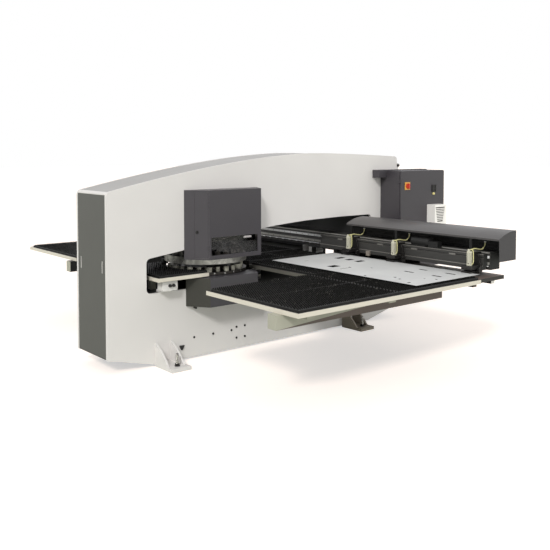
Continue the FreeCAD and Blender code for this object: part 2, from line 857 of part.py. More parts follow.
def table_edging():
    """Light edging strips round the outer edges of the tables."""
    e = edging_thick
    l = table_left
    n = front_table_near
    b = front_table_back
    rn = rear_table_near
    rf = rear_table_far
    t = throat_table_front
    f = 2.0 * turret_y - t
    s0 = saddle_slot[0][0]
    s1 = saddle_slot[1][1]
    solids = [
        edge_strip(l, l + e, n, b),
        edge_strip(l + e, table_right, n, n + e),
        edge_strip(inner_left, inner_left + e, b, s0),
        edge_strip(l, l + e, rn, rf),
        edge_strip(l + e, table_right, rf - e, rf),
        edge_strip(l + e, inner_left, rn, rn + e),
        edge_strip(inner_left, inner_left + e, s1, rn),
        edge_strip(l, l + e, t, f),
        edge_strip(l + e, throat_table_right, t, t + e),
        edge_strip(l + e, throat_table_right, f - e, f),
    ]
    return group(solids)


support_left = 453.0
support_right = 2648.0
support_wide = 110.0
support_low = tray_low - 128.0
front_support = 208.0 - front_reach
rear_support = frame_depth + 1150.0


def table_arm(x, wide, reach, depth):
    """An arm from the side plate out to the cross beam, and the haunch below it."""
    low = tray_low - depth
    arm = box(x, x + wide, -reach, 0.0, low, tray_low)
    haunch = slab_yz([(0.0, 610.0), (-36.0, 610.0), (-250.0, low), (0.0, low)], x, x + wide)
    return [arm, haunch]


def table_supports():
    """Cross beams under the outer tables, their arms, and posts under the inner ones."""
    solids = []
    for y in (front_support, rear_support):
        solids.append(box(support_left, support_right, y, y + support_wide, support_low, tray_low))
    for x in (table_right - 1035.0, table_right - 475.0):
        solids += table_arm(x, 80.0, -front_support - support_wide, 96.0)
        solids += [mirror_y(piece) for piece in table_arm(x, 80.0, rear_support - frame_depth, 96.0)]
    for x in (table_right + 45.0, runway_right - 85.0):
        arm = table_arm(x, 60.0, front_reach - 128.0, 60.0)
        solids += arm
        solids += [mirror_y(piece) for piece in arm]
    for x in (table_left + 113.0, table_left + 1122.0):
        solids.append(box(x, x + 90.0, front_table_near + 18.0, front_support, tray_low - 22.0, tray_low))
    floor = throat_floor + lining
    for x in (inner_left + 150.0, table_right - 315.0):
        under = edging_top - 2.0 - tray_sheet
        solids.append(box(x, x + 60.0, turret_y - 30.0, turret_y + 30.0, floor, under))
    x = table_left + 105.0
    for y in (turret_y - 145.0, turret_y + 85.0):
        solids.append(box(x, x + 60.0, y, y + 60.0, floor, tray_low))
    return group(solids)


junction_x0 = table_left + 68.0
junction_x1 = junction_x0 + 180.0
junction_low = throat_floor + 31.0
junction_high = tray_low - 14.0
junction_front = -98.0
junction_lid = 6.0


def junction_box():
    """Light box on the throat floor under the small table, with its lid seam."""
    x0 = junction_x0
    x1 = junction_x1
    front = junction_front
    body = box(x0, x1, front, -6.0, junction_low, junction_high)
    lip = box(x0 - 5.0, x1 + 5.0, front - junction_lid, front, junction_low - 4.0, junction_high + 4.0)
    foot = box(x0 + 24.0, x1 - 26.0, -30.0, 60.0, throat_floor + lining, junction_low)
    return joined([body, lip, foot])


def junction_plugs():
    """Two round plugs on the box's front."""
    y = junction_front - junction_lid
    z = (junction_low + junction_high) / 2.0 + 6.0
    solids = []
    for x in (junction_x1 - 92.0, junction_x1 - 48.0):
        body = many_sided_bar(x, z, y - 16.0, y, 17.0, 12)
        nut = many_sided_bar(x, z, y - 30.0, y - 16.0, 12.0, 12)
        solids.append(joined([body, nut]))
    return group(solids)


# ---------------------------------------------------------------- cross beam
guide_half = 15.0
screw_radius = 16.0
saddle_over = 40.0


def saddle_rails():
    """Two guide rails on the throat floor for the beam's saddle."""
    solids = []
    for y0, y1 in saddle_slot:
        mid = (y0 + y1) / 2.0
        low = throat_floor + lining
        foot = box(guide_x0, guide_x1, mid - 20.0, mid + 20.0, low, low + 8.0)
        head = box(guide_x0, guide_x1, mid - guide_half, mid + guide_half, low + 8.0, guide_top)
        solids.append(joined([foot, head]))
    return group(solids)


def beam_screw():
    """Fixed screw beside the near rail, clamped in a block at each end; its nut turns in the saddle."""
    length = guide_x1 - guide_x0 - 20.0
    shaft = Part.makeCylinder(screw_radius, length, V(guide_x0 + 10.0, screw_y, screw_z), V(1, 0, 0))
    low = throat_floor + lining
    blocks = []
    for x in (guide_x0, guide_x1 - 40.0):
        blocks.append(box(x, x + 40.0, screw_y - 34.0, screw_y + 34.0, low, screw_z + 36.0))
    return joined([shaft] + blocks)


def cross_beam():
    """Hollow box beam along Y that carries the sheet carriage, and its guard sheet in the throat."""
    w = beam_wall
    outer = box(beam_x0, beam_x1, beam_near, beam_far, beam_low, beam_high)
    core = box(beam_x0 + w, beam_x1 - w, beam_near + w, beam_far - w, beam_low + w, beam_high - w)
    guard_y0 = hood_inner + 5.0
    guard_y1 = 2.0 * turret_y - guard_y0
    guard = box(beam_x1, beam_x1 + hood_skin, guard_y0, guard_y1, beam_low + 110.0, beam_high + guard_height)
    return group([outer.cut(core), guard])


def beam_rails():
    """Two linear rails on the beam's front, the ledge strip over them and the rack bar below."""
    x0 = beam_x0 - rail_reach
    y0 = beam_near + 10.0
    y1 = beam_far - 10.0
    solids = []
    for z in (rail_level, low_rail_level):
        solids.append(box(x0, beam_x0, y0, y1, z, z + rail_height))
    solids.append(box(beam_x0 - 8.0, beam_x0, y0, y1, beam_high - 14.0, beam_high - 2.0))
    solids.append(box(beam_x0 - 18.0, beam_x0, y0, y1, rack_level - 10.0, rack_level + 8.0))
    return group(solids)


def beam_saddle():
    """Plate under the beam with two legs that ride on the throat rails."""
    x0 = beam_x0 - saddle_over
    x1 = beam_x1 + saddle_over
    under = beam_low - 21.0
    block_top = guide_top + 29.0
    pieces = [box(x0, x1, 60.0, 610.0, under, beam_low)]
    for y0, y1 in saddle_slot:
        mid = (y0 + y1) / 2.0
        half = guide_half + clearance
        pieces.append(box(x0, x1, mid - 30.0, mid + 30.0, block_top, under))
        block = box(x0 + 10.0, x1 - 10.0, mid - 28.0, mid + 28.0, guide_top - 17.0, block_top)
        groove = box(x0, x1, mid - half, mid + half, guide_top - 27.0, guide_top + clearance)
        pieces.append(block.cut(groove))
    near = (saddle_slot[0][0] + saddle_slot[0][1]) / 2.0 + 30.0
    nut = box(x0 + 60.0, x1 - 60.0, near, screw_y + 30.0, screw_z - 30.0, screw_z + 30.0)
    bore = Part.makeCylinder(screw_radius + running_fit, x1 - x0, V(x0, screw_y, screw_z), V(1, 0, 0))
    pieces.append(nut.cut(bore))
    return joined(pieces)


def hood_section():
    """Outline of the hood's skin: a curved top and a straight back."""
    outer = []
    for i in range(9):
        t = i / 8.0
        x = hood_front + (hood_back - hood_front) * t
        z = hood_top - (hood_top - hood_lip) * (1.0 - t) ** 2.1
        outer.append((x, z))
    return outer


def hood(near, far, cap_near, cap_far):
    """Curved sheet hood over the carriage: open towards the sheet and at the frame."""
    outer = hood_section()
    t = hood_skin
    inner = [(x, z - t) for x, z in outer]
    inner[-1] = (hood_back - t, inner[-1][1])
    ring = outer + [(hood_back, hood_low), (hood_back - t, hood_low)] + list(reversed(inner))
    parts_list = [slab_xz(ring, near, far)]
    parts_list.append(box(hood_front, hood_front + t, near, far, hood_lip - 20.0, hood_lip - 1.0))
    full = outer + [(hood_back, hood_low), (hood_front + 8.0, hood_low)]
    if cap_near:
        parts_list.append(slab_xz(full, near, near + t))
    if cap_far:
        parts_list.append(slab_xz(full, far - t, far))
    y0, y1 = (near + 150.0, far - 120.0)
    for y in (y0, (y0 + y1) / 2.0, y1):
        parts_list.append(box(beam_x1, hood_back - t, y - 25.0, y + 25.0, 1130.0, 1160.0))
    return joined(parts_list)


def front_hood():
    return hood(hood_near, hood_inner, True, False)


def rear_hood():
    return hood(2.0 * turret_y - hood_inner, 2.0 * turret_y - hood_near, False, True)


# ---------------------------------------------------------------- carriage
def carriage_bar():
    """Clamp bar with a stepped foot and a slot, and the bracketed air pipe over it."""
    upper = box(bar_x0, bar_x1, bar_near, bar_far, bar_low + 46.0, bar_high)
    step = box(bar_x0 - 14.0, bar_x1 - 20.0, bar_near, bar_far, bar_low, bar_low + 46.0)
    slot = box(bar_x0 - 1.0, bar_x0 + 12.0, bar_near - 1.0, bar_far + 1.0, bar_high - 42.0, bar_high - 26.0)
    body = joined([upper, step]).cut(slot)
    extras = []
    for y in clamp_places:
        y0 = y + 70.0
        y1 = y0 + 30.0
        top = manifold_z + 16.0
        extras.append(box(bar_x0 + 20.0, bar_x1 - 18.0, y0, y1, bar_high, top))
        extras.append(box(bar_x1 - 18.0, manifold_x + 10.0, y0, y1, top - 20.0, top))
    pipe = box(manifold_x - 14.0, manifold_x + 14.0, clamp_places[0] - 60.0, clamp_places[-1] + 130.0,
               manifold_z - 12.0, manifold_z + 16.0)
    return joined([body] + extras + [pipe])


def runner_blocks():
    """Blocks that ride on the beam's rails behind the clamp bar."""
    solids = []
    for along in (140.0, 890.0, 1640.0, 2370.0):
        y = bar_near + along
        top = rail_level + rail_height + 14.0
        block = box(bar_x1, beam_x0 - 2.0, y - 60.0, y + 60.0, low_rail_level - 12.0, top)
        for z in (rail_level, low_rail_level):
            groove = box(beam_x0 - rail_reach - clearance, beam_x0, y - 61.0, y + 61.0,
                         z - clearance, z + rail_height + clearance)
            block = block.cut(groove)
        solids.append(block)
    return group(solids)


def slot_blocks():
    """Light nuts in the clamp bar's slot, between the clamps."""
    solids = []
    for along in (400.0, 933.0, 1454.0, 2130.0):
        y = bar_near + along
        solids.append(box(bar_x0 - 4.0, bar_x0 + 12.0, y - 42.0, y + 42.0, bar_high - 42.0, bar_high - 26.0))
    return group(solids)


def carriage_motor():
    """Servo motor and gearbox on top of the clamp bar."""
    y = bar_near + 740.0
    gearbox = box(bar_x0 + 10.0, bar_x1 + 20.0, y - 130.0, y, bar_high, bar_high + 70.0)
    motor = many_sided_bar(bar_x0 + 50.0, bar_high + 52.0, y, y + 250.0, 46.0, 16)
    foot = box(bar_x0 + 20.0, bar_x0 + 60.0, y + 50.0, y + 230.0, bar_high, bar_high + 16.0)
    return joined([gearbox, motor, foot])


clamp_half = 92.0
jaw_pin = 5.0
cylinder_side = 42.0
cylinder_x1 = hose_start + 10.0 + cylinder_side / 2.0


def clamp_body(y):
    """C-shaped clamp: lower jaw, tapered back plate, upper arm, pivot cheeks and cylinder arm."""
    x1 = bar_x0 - 14.0
    heel = jaw_pivot_x + 22.0
    lower = box(jaw_tip - 2.0, x1, y - 62.0, y + 62.0, 981.5, sheet_low - clearance)
    outline = [(y - clamp_half, 981.5), (y + clamp_half, 981.5), (y + clamp_half, 1040.0),
               (y + 52.0, bar_high), (y - 52.0, bar_high), (y - clamp_half, 1040.0)]
    back = slab_yz(outline, heel, x1)
    wedge = slab_xz([(heel, 1026.0), (heel, 1064.0), (3064.0, 1064.0), (3050.0, 1040.0), (3050.0, 1026.0)],
                    y - 62.0, y + 62.0)
    cheek_a = box(jaw_pivot_x - 14.0, jaw_pivot_x + 22.0, y - clamp_half, y - 74.0, 990.0, 1040.0)
    cheek_b = box(jaw_pivot_x - 14.0, jaw_pivot_x + 22.0, y + 74.0, y + clamp_half, 990.0, 1040.0)
    tongue = box(x1, bar_x0, y - 50.0, y + 50.0, bar_low + 50.0, bar_low + 49.0 + 20.0)
    arm = box(cylinder_x1 - 4.0, bar_x1 - 10.0, y - 26.0, y + 26.0, bar_high, bar_high + 18.0)
    pin_half = clamp_half - 4.0
    pin = many_sided_bar(jaw_pivot_x, jaw_pivot_z, y - pin_half, y + pin_half, jaw_pin, bore_sides)
    return joined([lower, back, wedge, cheek_a, cheek_b, tongue, arm, pin])


def clamp_bodies():
    return group([clamp_body(y) for y in clamp_places])


def clamp_jaw(y):
    """Upper jaw that swings on the clamp's pin and presses on the sheet."""
    z0 = sheet_low + sheet_thick + clearance
    pad = box(jaw_tip, jaw_tip + 40.0, y - 60.0, y + 60.0, z0, z0 + 12.0)
    arm = box(jaw_tip + 30.0, jaw_pivot_x, y - 58.0, y + 58.0, z0 + 4.0, z0 + 16.0)
    barrel = many_sided_bar(jaw_pivot_x, jaw_pivot_z, y - 73.0, y + 73.0, 11.0, 12)
    bore = many_sided_bar(jaw_pivot_x, jaw_pivot_z, y - 80.0, y + 80.0, bore_radius(jaw_pin), bore_sides)
    return joined([pad, arm, barrel]).cut(bore)


def clamp_cylinders():
    """Light air cylinders standing on the clamps."""
    solids = []
    for y in clamp_places:
        x0 = cylinder_x1 - cylinder_side
        low = sheet_low + 73.7
        high = hose_level - 14.0
        side = cylinder_side / 2.0
        body = box(x0, cylinder_x1 - 4.3, y - side, y + side, low, high)
        elbow = box(x0, hose_start, y - 10.0, y + 10.0, high, hose_level + 10.0)
        solids.append(joined([body, elbow]))
    return group(solids)


hose_sides = 6


def bend_points(p, a, b, share_a, share_b):
    """Points of the round bend at corner p, which may use those shares of the runs from a and to b."""
    before = a - p
    after = b - p
    turn = math.pi - before.getAngle(after)
    reach = min(share_a * before.Length, share_b * after.Length)
    bend = reach / math.tan(turn / 2.0)
    print("hose bend radius %.0f" % bend)
    before.normalize()
    after.normalize()
    centre = p + (before + after).normalize() * (bend / math.cos(turn / 2.0))
    start = p + before * reach - centre
    end = p + after * reach - centre
    return [centre + start, centre + (start + end).normalize() * bend, centre + end]


def hose_line(points):
    """The middle line of a hose: straight runs with a round bend at every corner."""
    corners = [V(*point) for point in points]
    last = len(corners) - 2
    line = [corners[0]]
    for i in range(1, last + 1):
        share_a = 0.9 if i == 1 else 0.45
        share_b = 0.9 if i == last else 0.45
        line += bend_points(corners[i], corners[i - 1], corners[i + 1], share_a, share_b)
    return line + [corners[-1]]


def hose(points, radius):
    """A hose that lies in one plane of constant Y, from many-sided sections."""
    line = hose_line(points)
    sections = []
    for i, p in enumerate(line):
        ahead = line[min(i + 1, len(line) - 1)] - line[max(i - 1, 0)]
        if i == 1 or i == len(line) - 1:
            ahead = p - line[i - 1]
        if i == len(line) - 2:
            ahead = line[-1] - p
        across = V(ahead.z, 0.0, -ahead.x).normalize()
        loop = []
        for c, d in ring_points(0.0, 0.0, radius, hose_sides):
            loop.append(p + across * c + V(0.0, d, 0.0))
        sections.append(Part.makePolygon(loop + [loop[0]]))
    return Part.makeLoft(sections, True, True)


def clamp_hoses():
    """A looped air hose from each cylinder's elbow to the air pipe."""
    solids = []
    for y in clamp_places:
        pts = [(hose_start, y, hose_level), (hose_start + 38.0, y, hose_level),
               (hose_start + 96.0, y, hose_level + 11.0), (hose_start + 204.0, y, hose_level - 13.0),
               (manifold_x - 34.0, y, fitting_low - 62.0), (manifold_x, y, fitting_low - 32.0),
               (manifold_x, y, fitting_low)]
        solids.append(hose(pts, hose_radius))
    return group(solids)


def hose_fittings():
    """White push-in fittings under the air pipe."""
    solids = []
    for y in clamp_places:
        solids.append(many_sided_post(manifold_x, y, fitting_low, manifold_z - 12.0, 12.0, 8))
    return group(solids)


sheet_wide = 1000.0
sheet_long = 2150.0
sheet_x0 = table_right - 940.0
sheet_y0 = 68.0 - front_reach
# Every hole as its middle from the sheet's near left corner, and its two sides.
work_holes = (
    (737.0, 1771.0, 128.0, 74.0), (730.0, 1605.0, 98.0, 70.0), (727.0, 1438.0, 122.0, 72.0),
    (233.0, 1361.0, 124.0, 100.0), (572.0, 573.0, 30.0, 128.0), (798.0, 566.0, 30.0, 108.0),
    (582.0, 216.0, 34.0, 114.0), (806.0, 215.0, 30.0, 126.0), (159.0, 344.0, 34.0, 24.0),
    (72.0, 151.0, 40.0, 28.0), (421.0, 95.0, 24.0, 24.0), (372.0, 204.0, 18.0, 18.0),
    (47.0, 711.0, 26.0, 26.0), (200.0, 441.0, 28.0, 28.0), (475.0, 1018.0, 14.0, 26.0),
    (240.0, 1176.0, 170.0, 12.0), (318.0, 1200.0, 34.0, 18.0), (275.0, 1855.0, 60.0, 10.0),
)


def workpiece():
    """The sheet in the clamps, with the holes already punched in it."""
    z0 = sheet_low
    z1 = sheet_low + sheet_thick
    sheet = box(sheet_x0, sheet_x0 + sheet_wide, sheet_y0, sheet_y0 + sheet_long, z0, z1)
    for along_x, along_y, wide, deep in work_holes:
        x = sheet_x0 + along_x
        y = sheet_y0 + along_y
        a = wide / 2.0
        b = deep / 2.0
        sheet = sheet.cut(box(x - a, x + a, y - b, y + b, z0 - 1.0, z1 + 1.0))
    return sheet


# ---------------------------------------------------------------- cabinet
def cabinet():
    """Electrical cabinet on the frame's right end, open at the front."""
    t = 4.0
    outer = box(cabinet_x0, cabinet_x1, cabinet_front + door_thick, 0.0, cabinet_low, cabinet_high)
    inner = box(cabinet_x0 + t, cabinet_x1 - t, cabinet_front, -t, cabinet_low + t, cabinet_high - t)
    body = outer.cut(inner)
    lip = 22.0
    y0 = cabinet_front + door_thick
    rim = box(cabinet_x0, cabinet_x1, y0, y0 + t, cabinet_low, cabinet_high)
    rim = rim.cut(box(cabinet_x0 + lip, cabinet_x1 - lip, y0 - 1.0, y0 + t + 1.0, cabinet_low + lip,
                      cabinet_high - lip))
    panel = box(cabinet_x0 + 60.0, cabinet_x1 - 60.0, -t - 24.0, -t, cabinet_low + 60.0, cabinet_high - 60.0)
    hinges = []
    for z in hinge_levels:
        hinges.append(many_sided_post(hinge_x, hinge_y, z - 34.0, z, 8.0, 12))
        hinges.append(many_sided_post(hinge_x, hinge_y, z, z + 30.0, hinge_pin, bore_sides))
        hinges.append(box(hinge_x - 8.0, hinge_x - 4.0, hinge_y, y0 + 30.0, z - 34.0, z))
        hinges.append(box(hinge_x - 8.0, cabinet_x0, y0, y0 + 30.0, z - 34.0, z))
    return joined([body, rim, panel] + hinges)


def cabinet_door():
    """Door leaf of the cabinet, with a folded rim behind it."""
    i = door_inset
    leaf = box(cabinet_x0 + i, cabinet_x1 - i, cabinet_front, cabinet_front + door_thick - 2.0,
               cabinet_low + i, cabinet_high - i)
    core = box(cabinet_x0 + i + 3.0, cabinet_x1 - i - 3.0, cabinet_front + 3.0, cabinet_front + door_thick,
               cabinet_low + i + 3.0, cabinet_high - i - 3.0)
    leaf = leaf.cut(core)
    knob_boss = many_sided_bar(switch_x, switch_z, cabinet_front, cabinet_front + door_thick - 4.0, 20.0, 12)
    knob_bore = many_sided_bar(switch_x, switch_z, cabinet_front - 1.0, cabinet_front + door_thick,
                               bore_radius(knob_shaft), bore_sides)
    knuckles = []
    for z in hinge_levels:
        knuckles.append(many_sided_post(hinge_x, hinge_y, z + clearance, z + 34.0, 8.0, 12))
        knuckles.append(box(hinge_x, cabinet_x0 + 40.0, hinge_y, cabinet_front, z + clearance, z + 34.0))
    leaf = joined([leaf, knob_boss] + knuckles).cut(knob_bore)
    for z in hinge_levels:
        bore = bore_radius(hinge_pin)
        leaf = leaf.cut(many_sided_post(hinge_x, hinge_y, z - 1.0, z + 35.0, bore, bore_sides))
    return leaf


switch_x = cabinet_x0 + 133.0
switch_z = cabinet_high - 198.0
handle_x = cabinet_x1 - 227.0
handle_z = cabinet_high - 244.0


def switch_plate():
    """Square plate behind the main switch."""
    y = cabinet_front
    body = box(switch_x - 50.0, switch_x + 50.0, y - 6.0, y, switch_z - 50.0, switch_z + 50.0)
    bore = bore_radius(knob_shaft)
    return body.cut(many_sided_bar(switch_x, switch_z, y - 8.0, y + 1.0, bore, bore_sides))


def switch_knob():
    """Rotary knob with a raised grip and a shaft through the door."""
    y = cabinet_front - 6.0 - clearance
    shaft = many_sided_bar(switch_x, switch_z, y, y + 18.0, knob_shaft, bore_sides)
    dial = many_sided_bar(switch_x, switch_z, y - 12.0, y, 36.0, 16)
    grip = box(switch_x - 10.0, switch_x + 10.0, y - 34.0, y - 12.0, switch_z - 34.0, switch_z + 34.0)
    return joined([shaft, dial, grip])


latch_half_x = 42.0
latch_half_z = 48.0


def latch_plate():
    """Square dish of the door latch, with the pivot's two ears at its left."""
    y = cabinet_front
    dish = box(handle_x - latch_half_x, handle_x + latch_half_x, y - 12.0, y, handle_z - latch_half_z,
               handle_z + latch_half_z)
    dish = dish.cut(box(handle_x - latch_half_x + 8.0, handle_x + latch_half_x - 8.0, y - 13.0, y - 4.0,
                        handle_z - latch_half_z + 8.0, handle_z + latch_half_z - 8.0))
    pin = Part.makeCylinder(3.0, 2.0 * latch_half_z - 10.0, V(handle_x - latch_half_x + 16.0, y - 9.5,
                                                              handle_z - latch_half_z + 5.0), V(0, 0, 1))
    return joined([dish, pin])


def door_handle():
    """Paddle of the door latch, which folds out about the upright pin."""
    y = cabinet_front
    px = handle_x - latch_half_x + 16.0
    gap = 1.0
    low = handle_z - latch_half_z + 8.0 + gap
    high = handle_z + latch_half_z - 8.0 - gap
    paddle = box(px, handle_x + latch_half_x - 8.0 - gap, y - 12.0, y - 7.0, low, high)
    far = handle_x + latch_half_x - 8.0 - gap
    lip = box(far - 15.0, far, y - 18.0, y - 12.0, low, high)
    barrel = many_sided_post(px, y - 9.5, low, high, 5.0, 10)
    bore = many_sided_post(px, y - 9.5, low - 1.0, high + 1.0, bore_radius(3.0), bore_sides)
    return joined([paddle, lip, barrel]).cut(bore)


def door_lamp():
    """Round signal lamp under the latch."""
    y = cabinet_front
    z = handle_z - latch_half_z - 24.0
    ring = many_sided_bar(handle_x - 6.0, z, y - 5.0, y, 19.0, 16)
    lens = many_sided_bar(handle_x - 6.0, z, y - 16.0, y - 5.0, 15.0, 16)
    return joined([ring, lens])


def cooler():
    """Cooling unit on the door, with a tapered recess of louvres in its front."""
    x0 = cabinet_x1 - 365.0
    x1 = cabinet_x1 - 129.0
    y0 = cabinet_front - 134.0
    z0 = cabinet_low + 300.0
    z1 = cabinet_low + 840.0
    body = box(x0, x1, y0, cabinet_front, z0, z1)
    mid = (x0 + x1) / 2.0
    top_half = 104.0
    low_half = 62.0
    recess = slab_xz([(mid - top_half, z1 - 32.0), (mid + top_half, z1 - 32.0), (mid + low_half, z1 - 230.0),
                      (mid - low_half, z1 - 230.0)], y0 - 1.0, y0 + 16.0)
    body = body.cut(recess)
    slats = []
    for i in range(8):
        z = z1 - 50.0 - 22.0 * i
        half = top_half - (top_half - low_half) * (z1 - 32.0 - z) / 198.0 - 1.0
        slat = [(y0 + 3.0, z - 9.0), (y0 + 16.0, z), (y0 + 16.0, z + 4.0), (y0 + 3.0, z - 5.0)]
        slats.append(slab_yz(slat, mid - half, mid + half))
    return joined([body] + slats)


def cable_duct():
    """Cable duct from the frame's face along the cabinet's top."""
    high = cabinet_high + 12.0
    side = box(frame_length - 484.0, cabinet_x0, -116.0, 0.0, cabinet_high - 90.0, high)
    top = box(cabinet_x0, cabinet_x1 - 90.0, -116.0, 0.0, cabinet_high, high)
    return joined([side, top])


# ---------------------------------------------------------------- write the parts
save(side_plate(0.0), "front_side_plate")
save(side_plate(frame_depth - plate), "rear_side_plate")
save(top_cover(), "top_cover")
save(end_panels(), "end_panels")
save(end_trims(), "end_trims")
save(frame_linings(), "frame_linings")
save(frame_webs(), "frame_webs")
save(levelling_feet(), "levelling_feet")
save(levelling_bolts(), "levelling_bolts")
save(face_plugs(), "face_plugs")
save(lifting_lugs(), "lifting_lugs")
save(turret_cover(), "turret_cover")
save(cover_window(), "cover_window")
save(cover_door(), "cover_door")
save(cover_lock(), "cover_lock")
save(cover_lamp(), "cover_lamp")
save(rear_covers(), "rear_covers")
save(lower_housing(), "lower_housing")
save(upper_turret(), "upper_turret")
save(punch_holders(), "punch_holders")
save(lower_turret(), "lower_turret")
save(die_holders(), "die_holders")
save(turret_bearings(), "turret_bearings")
save(ram_cylinder(), "ram_cylinder")
save(striker(), "striker")
save(turret_motor(), "turret_motor")
save(table_trays(), "table_trays")
save(table_brushes(), "table_brushes")
save(table_edging(), "table_edging")
save(table_supports(), "table_supports")
save(junction_box(), "junction_box")
save(junction_plugs(), "junction_plugs")
save(saddle_rails(), "saddle_rails")
save(beam_screw(), "beam_screw")
save(cross_beam(), "cross_beam")
save(beam_rails(), "beam_rails")
save(beam_saddle(), "beam_saddle")
save(front_hood(), "front_hood")
save(rear_hood(), "rear_hood")
save(carriage_bar(), "carriage_bar")
save(runner_blocks(), "runner_blocks")
save(slot_blocks(), "slot_blocks")
save(carriage_motor(), "carriage_motor")
save(clamp_bodies(), "clamp_bodies")
save(clamp_cylinders(), "clamp_cylinders")
save(clamp_hoses(), "clamp_hoses")
save(hose_fittings(), "hose_fittings")
save(workpiece(), "workpiece")
for number, place in enumerate(clamp_places):
    save(clamp_jaw(place), "clamp_jaw_%d" % (number + 1))
save(cabinet(), "cabinet")
save(cabinet_door(), "cabinet_door")
save(switch_plate(), "switch_plate")
save(switch_knob(), "switch_knob")
save(latch_plate(), "latch_plate")
save(door_lamp(), "door_lamp")
save(door_handle(), "door_handle")
save(cooler(), "cooler")
save(cable_duct(), "cable_duct")
print("done")
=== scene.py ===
# %% [markdown]
# # CNC turret punch press
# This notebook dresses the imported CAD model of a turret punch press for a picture.
# The CAD pieces keep their place and size. The cells below give them their finishes,
# put real detail on them where a plain solid would look too smooth, and light them.

# %% Load the CAD model
import json
import math

import bmesh
import bpy
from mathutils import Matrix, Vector
from mathutils.bvhtree import BVHTree


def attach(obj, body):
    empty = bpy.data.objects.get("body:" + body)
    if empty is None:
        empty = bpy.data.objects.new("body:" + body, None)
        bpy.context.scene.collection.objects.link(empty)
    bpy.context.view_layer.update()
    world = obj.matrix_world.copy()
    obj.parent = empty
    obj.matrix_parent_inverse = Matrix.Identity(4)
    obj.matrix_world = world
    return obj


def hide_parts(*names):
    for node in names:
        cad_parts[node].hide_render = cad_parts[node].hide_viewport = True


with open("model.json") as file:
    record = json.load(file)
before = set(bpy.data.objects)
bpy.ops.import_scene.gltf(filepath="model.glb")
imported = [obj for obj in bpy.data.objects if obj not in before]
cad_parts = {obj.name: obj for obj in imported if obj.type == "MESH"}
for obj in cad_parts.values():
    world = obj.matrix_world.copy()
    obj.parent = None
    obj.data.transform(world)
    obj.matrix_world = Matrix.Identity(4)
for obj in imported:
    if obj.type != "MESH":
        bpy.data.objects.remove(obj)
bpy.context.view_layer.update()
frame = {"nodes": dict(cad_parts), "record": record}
nodes = frame["nodes"]
print("pieces from CAD:", len(nodes))

# %% [markdown]
# The CAD model has its origin under the near left foot. Sizes in the drawings are given
# from the left end of the frame and the face of its front plate, in millimetres, so one
# small function turns them into metres from the origin.

# %% From drawing sizes to metres
DRAWING_ORIGIN = (666.5, -170.0)


def at(x, y, z):
    """A point of the drawing, in millimetres, as a point of the model in metres."""
    return Vector(((x - DRAWING_ORIGIN[0]) / 1000, (y - DRAWING_ORIGIN[1]) / 1000, z / 1000))


# %% [markdown]
# ## Finishes
# A finish is a name for a real surface: a colour, how broad its highlight is, and the fine
# texture that breaks up that highlight. A painted edge also wears where hands and sheets
# wear the enamel thin, and its edges get a lighter colour, which is partly that wear and
# partly a painted highlight along the edge. The edge is found by comparing the true normal
# with a rounded one, which needs no extra mesh.

# %% Helpers for finishes
def linear(code):
    """An sRGB hex colour as the linear values that shaders use."""
    parts = [int(code[i:i + 2], 16) / 255 for i in (1, 3, 5)]
    return [p / 12.92 if p <= 0.04045 else ((p + 0.055) / 1.055) ** 2.4 for p in parts] + [1.0]


def node(tree, kind, inputs=None, **values):
    """One node with its settings.

    Inputs go by name, with spaces written as _, or in a dict by number."""
    made = tree.nodes.new(kind)
    sockets = dict(inputs or {})
    for name, value in values.items():
        if made.inputs.get(name.replace("_", " ")) is None:
            setattr(made, name, value)
        else:
            sockets[name.replace("_", " ")] = value
    for key, value in sockets.items():
        if isinstance(value, bpy.types.NodeSocket):
            tree.links.new(value, made.inputs[key])
        else:
            made.inputs[key].default_value = value
    return made


def new_material(name):
    """An empty node material and its tree."""
    made = bpy.data.materials.new(name)
    made.use_nodes = True
    made.node_tree.nodes.clear()
    return made, made.node_tree


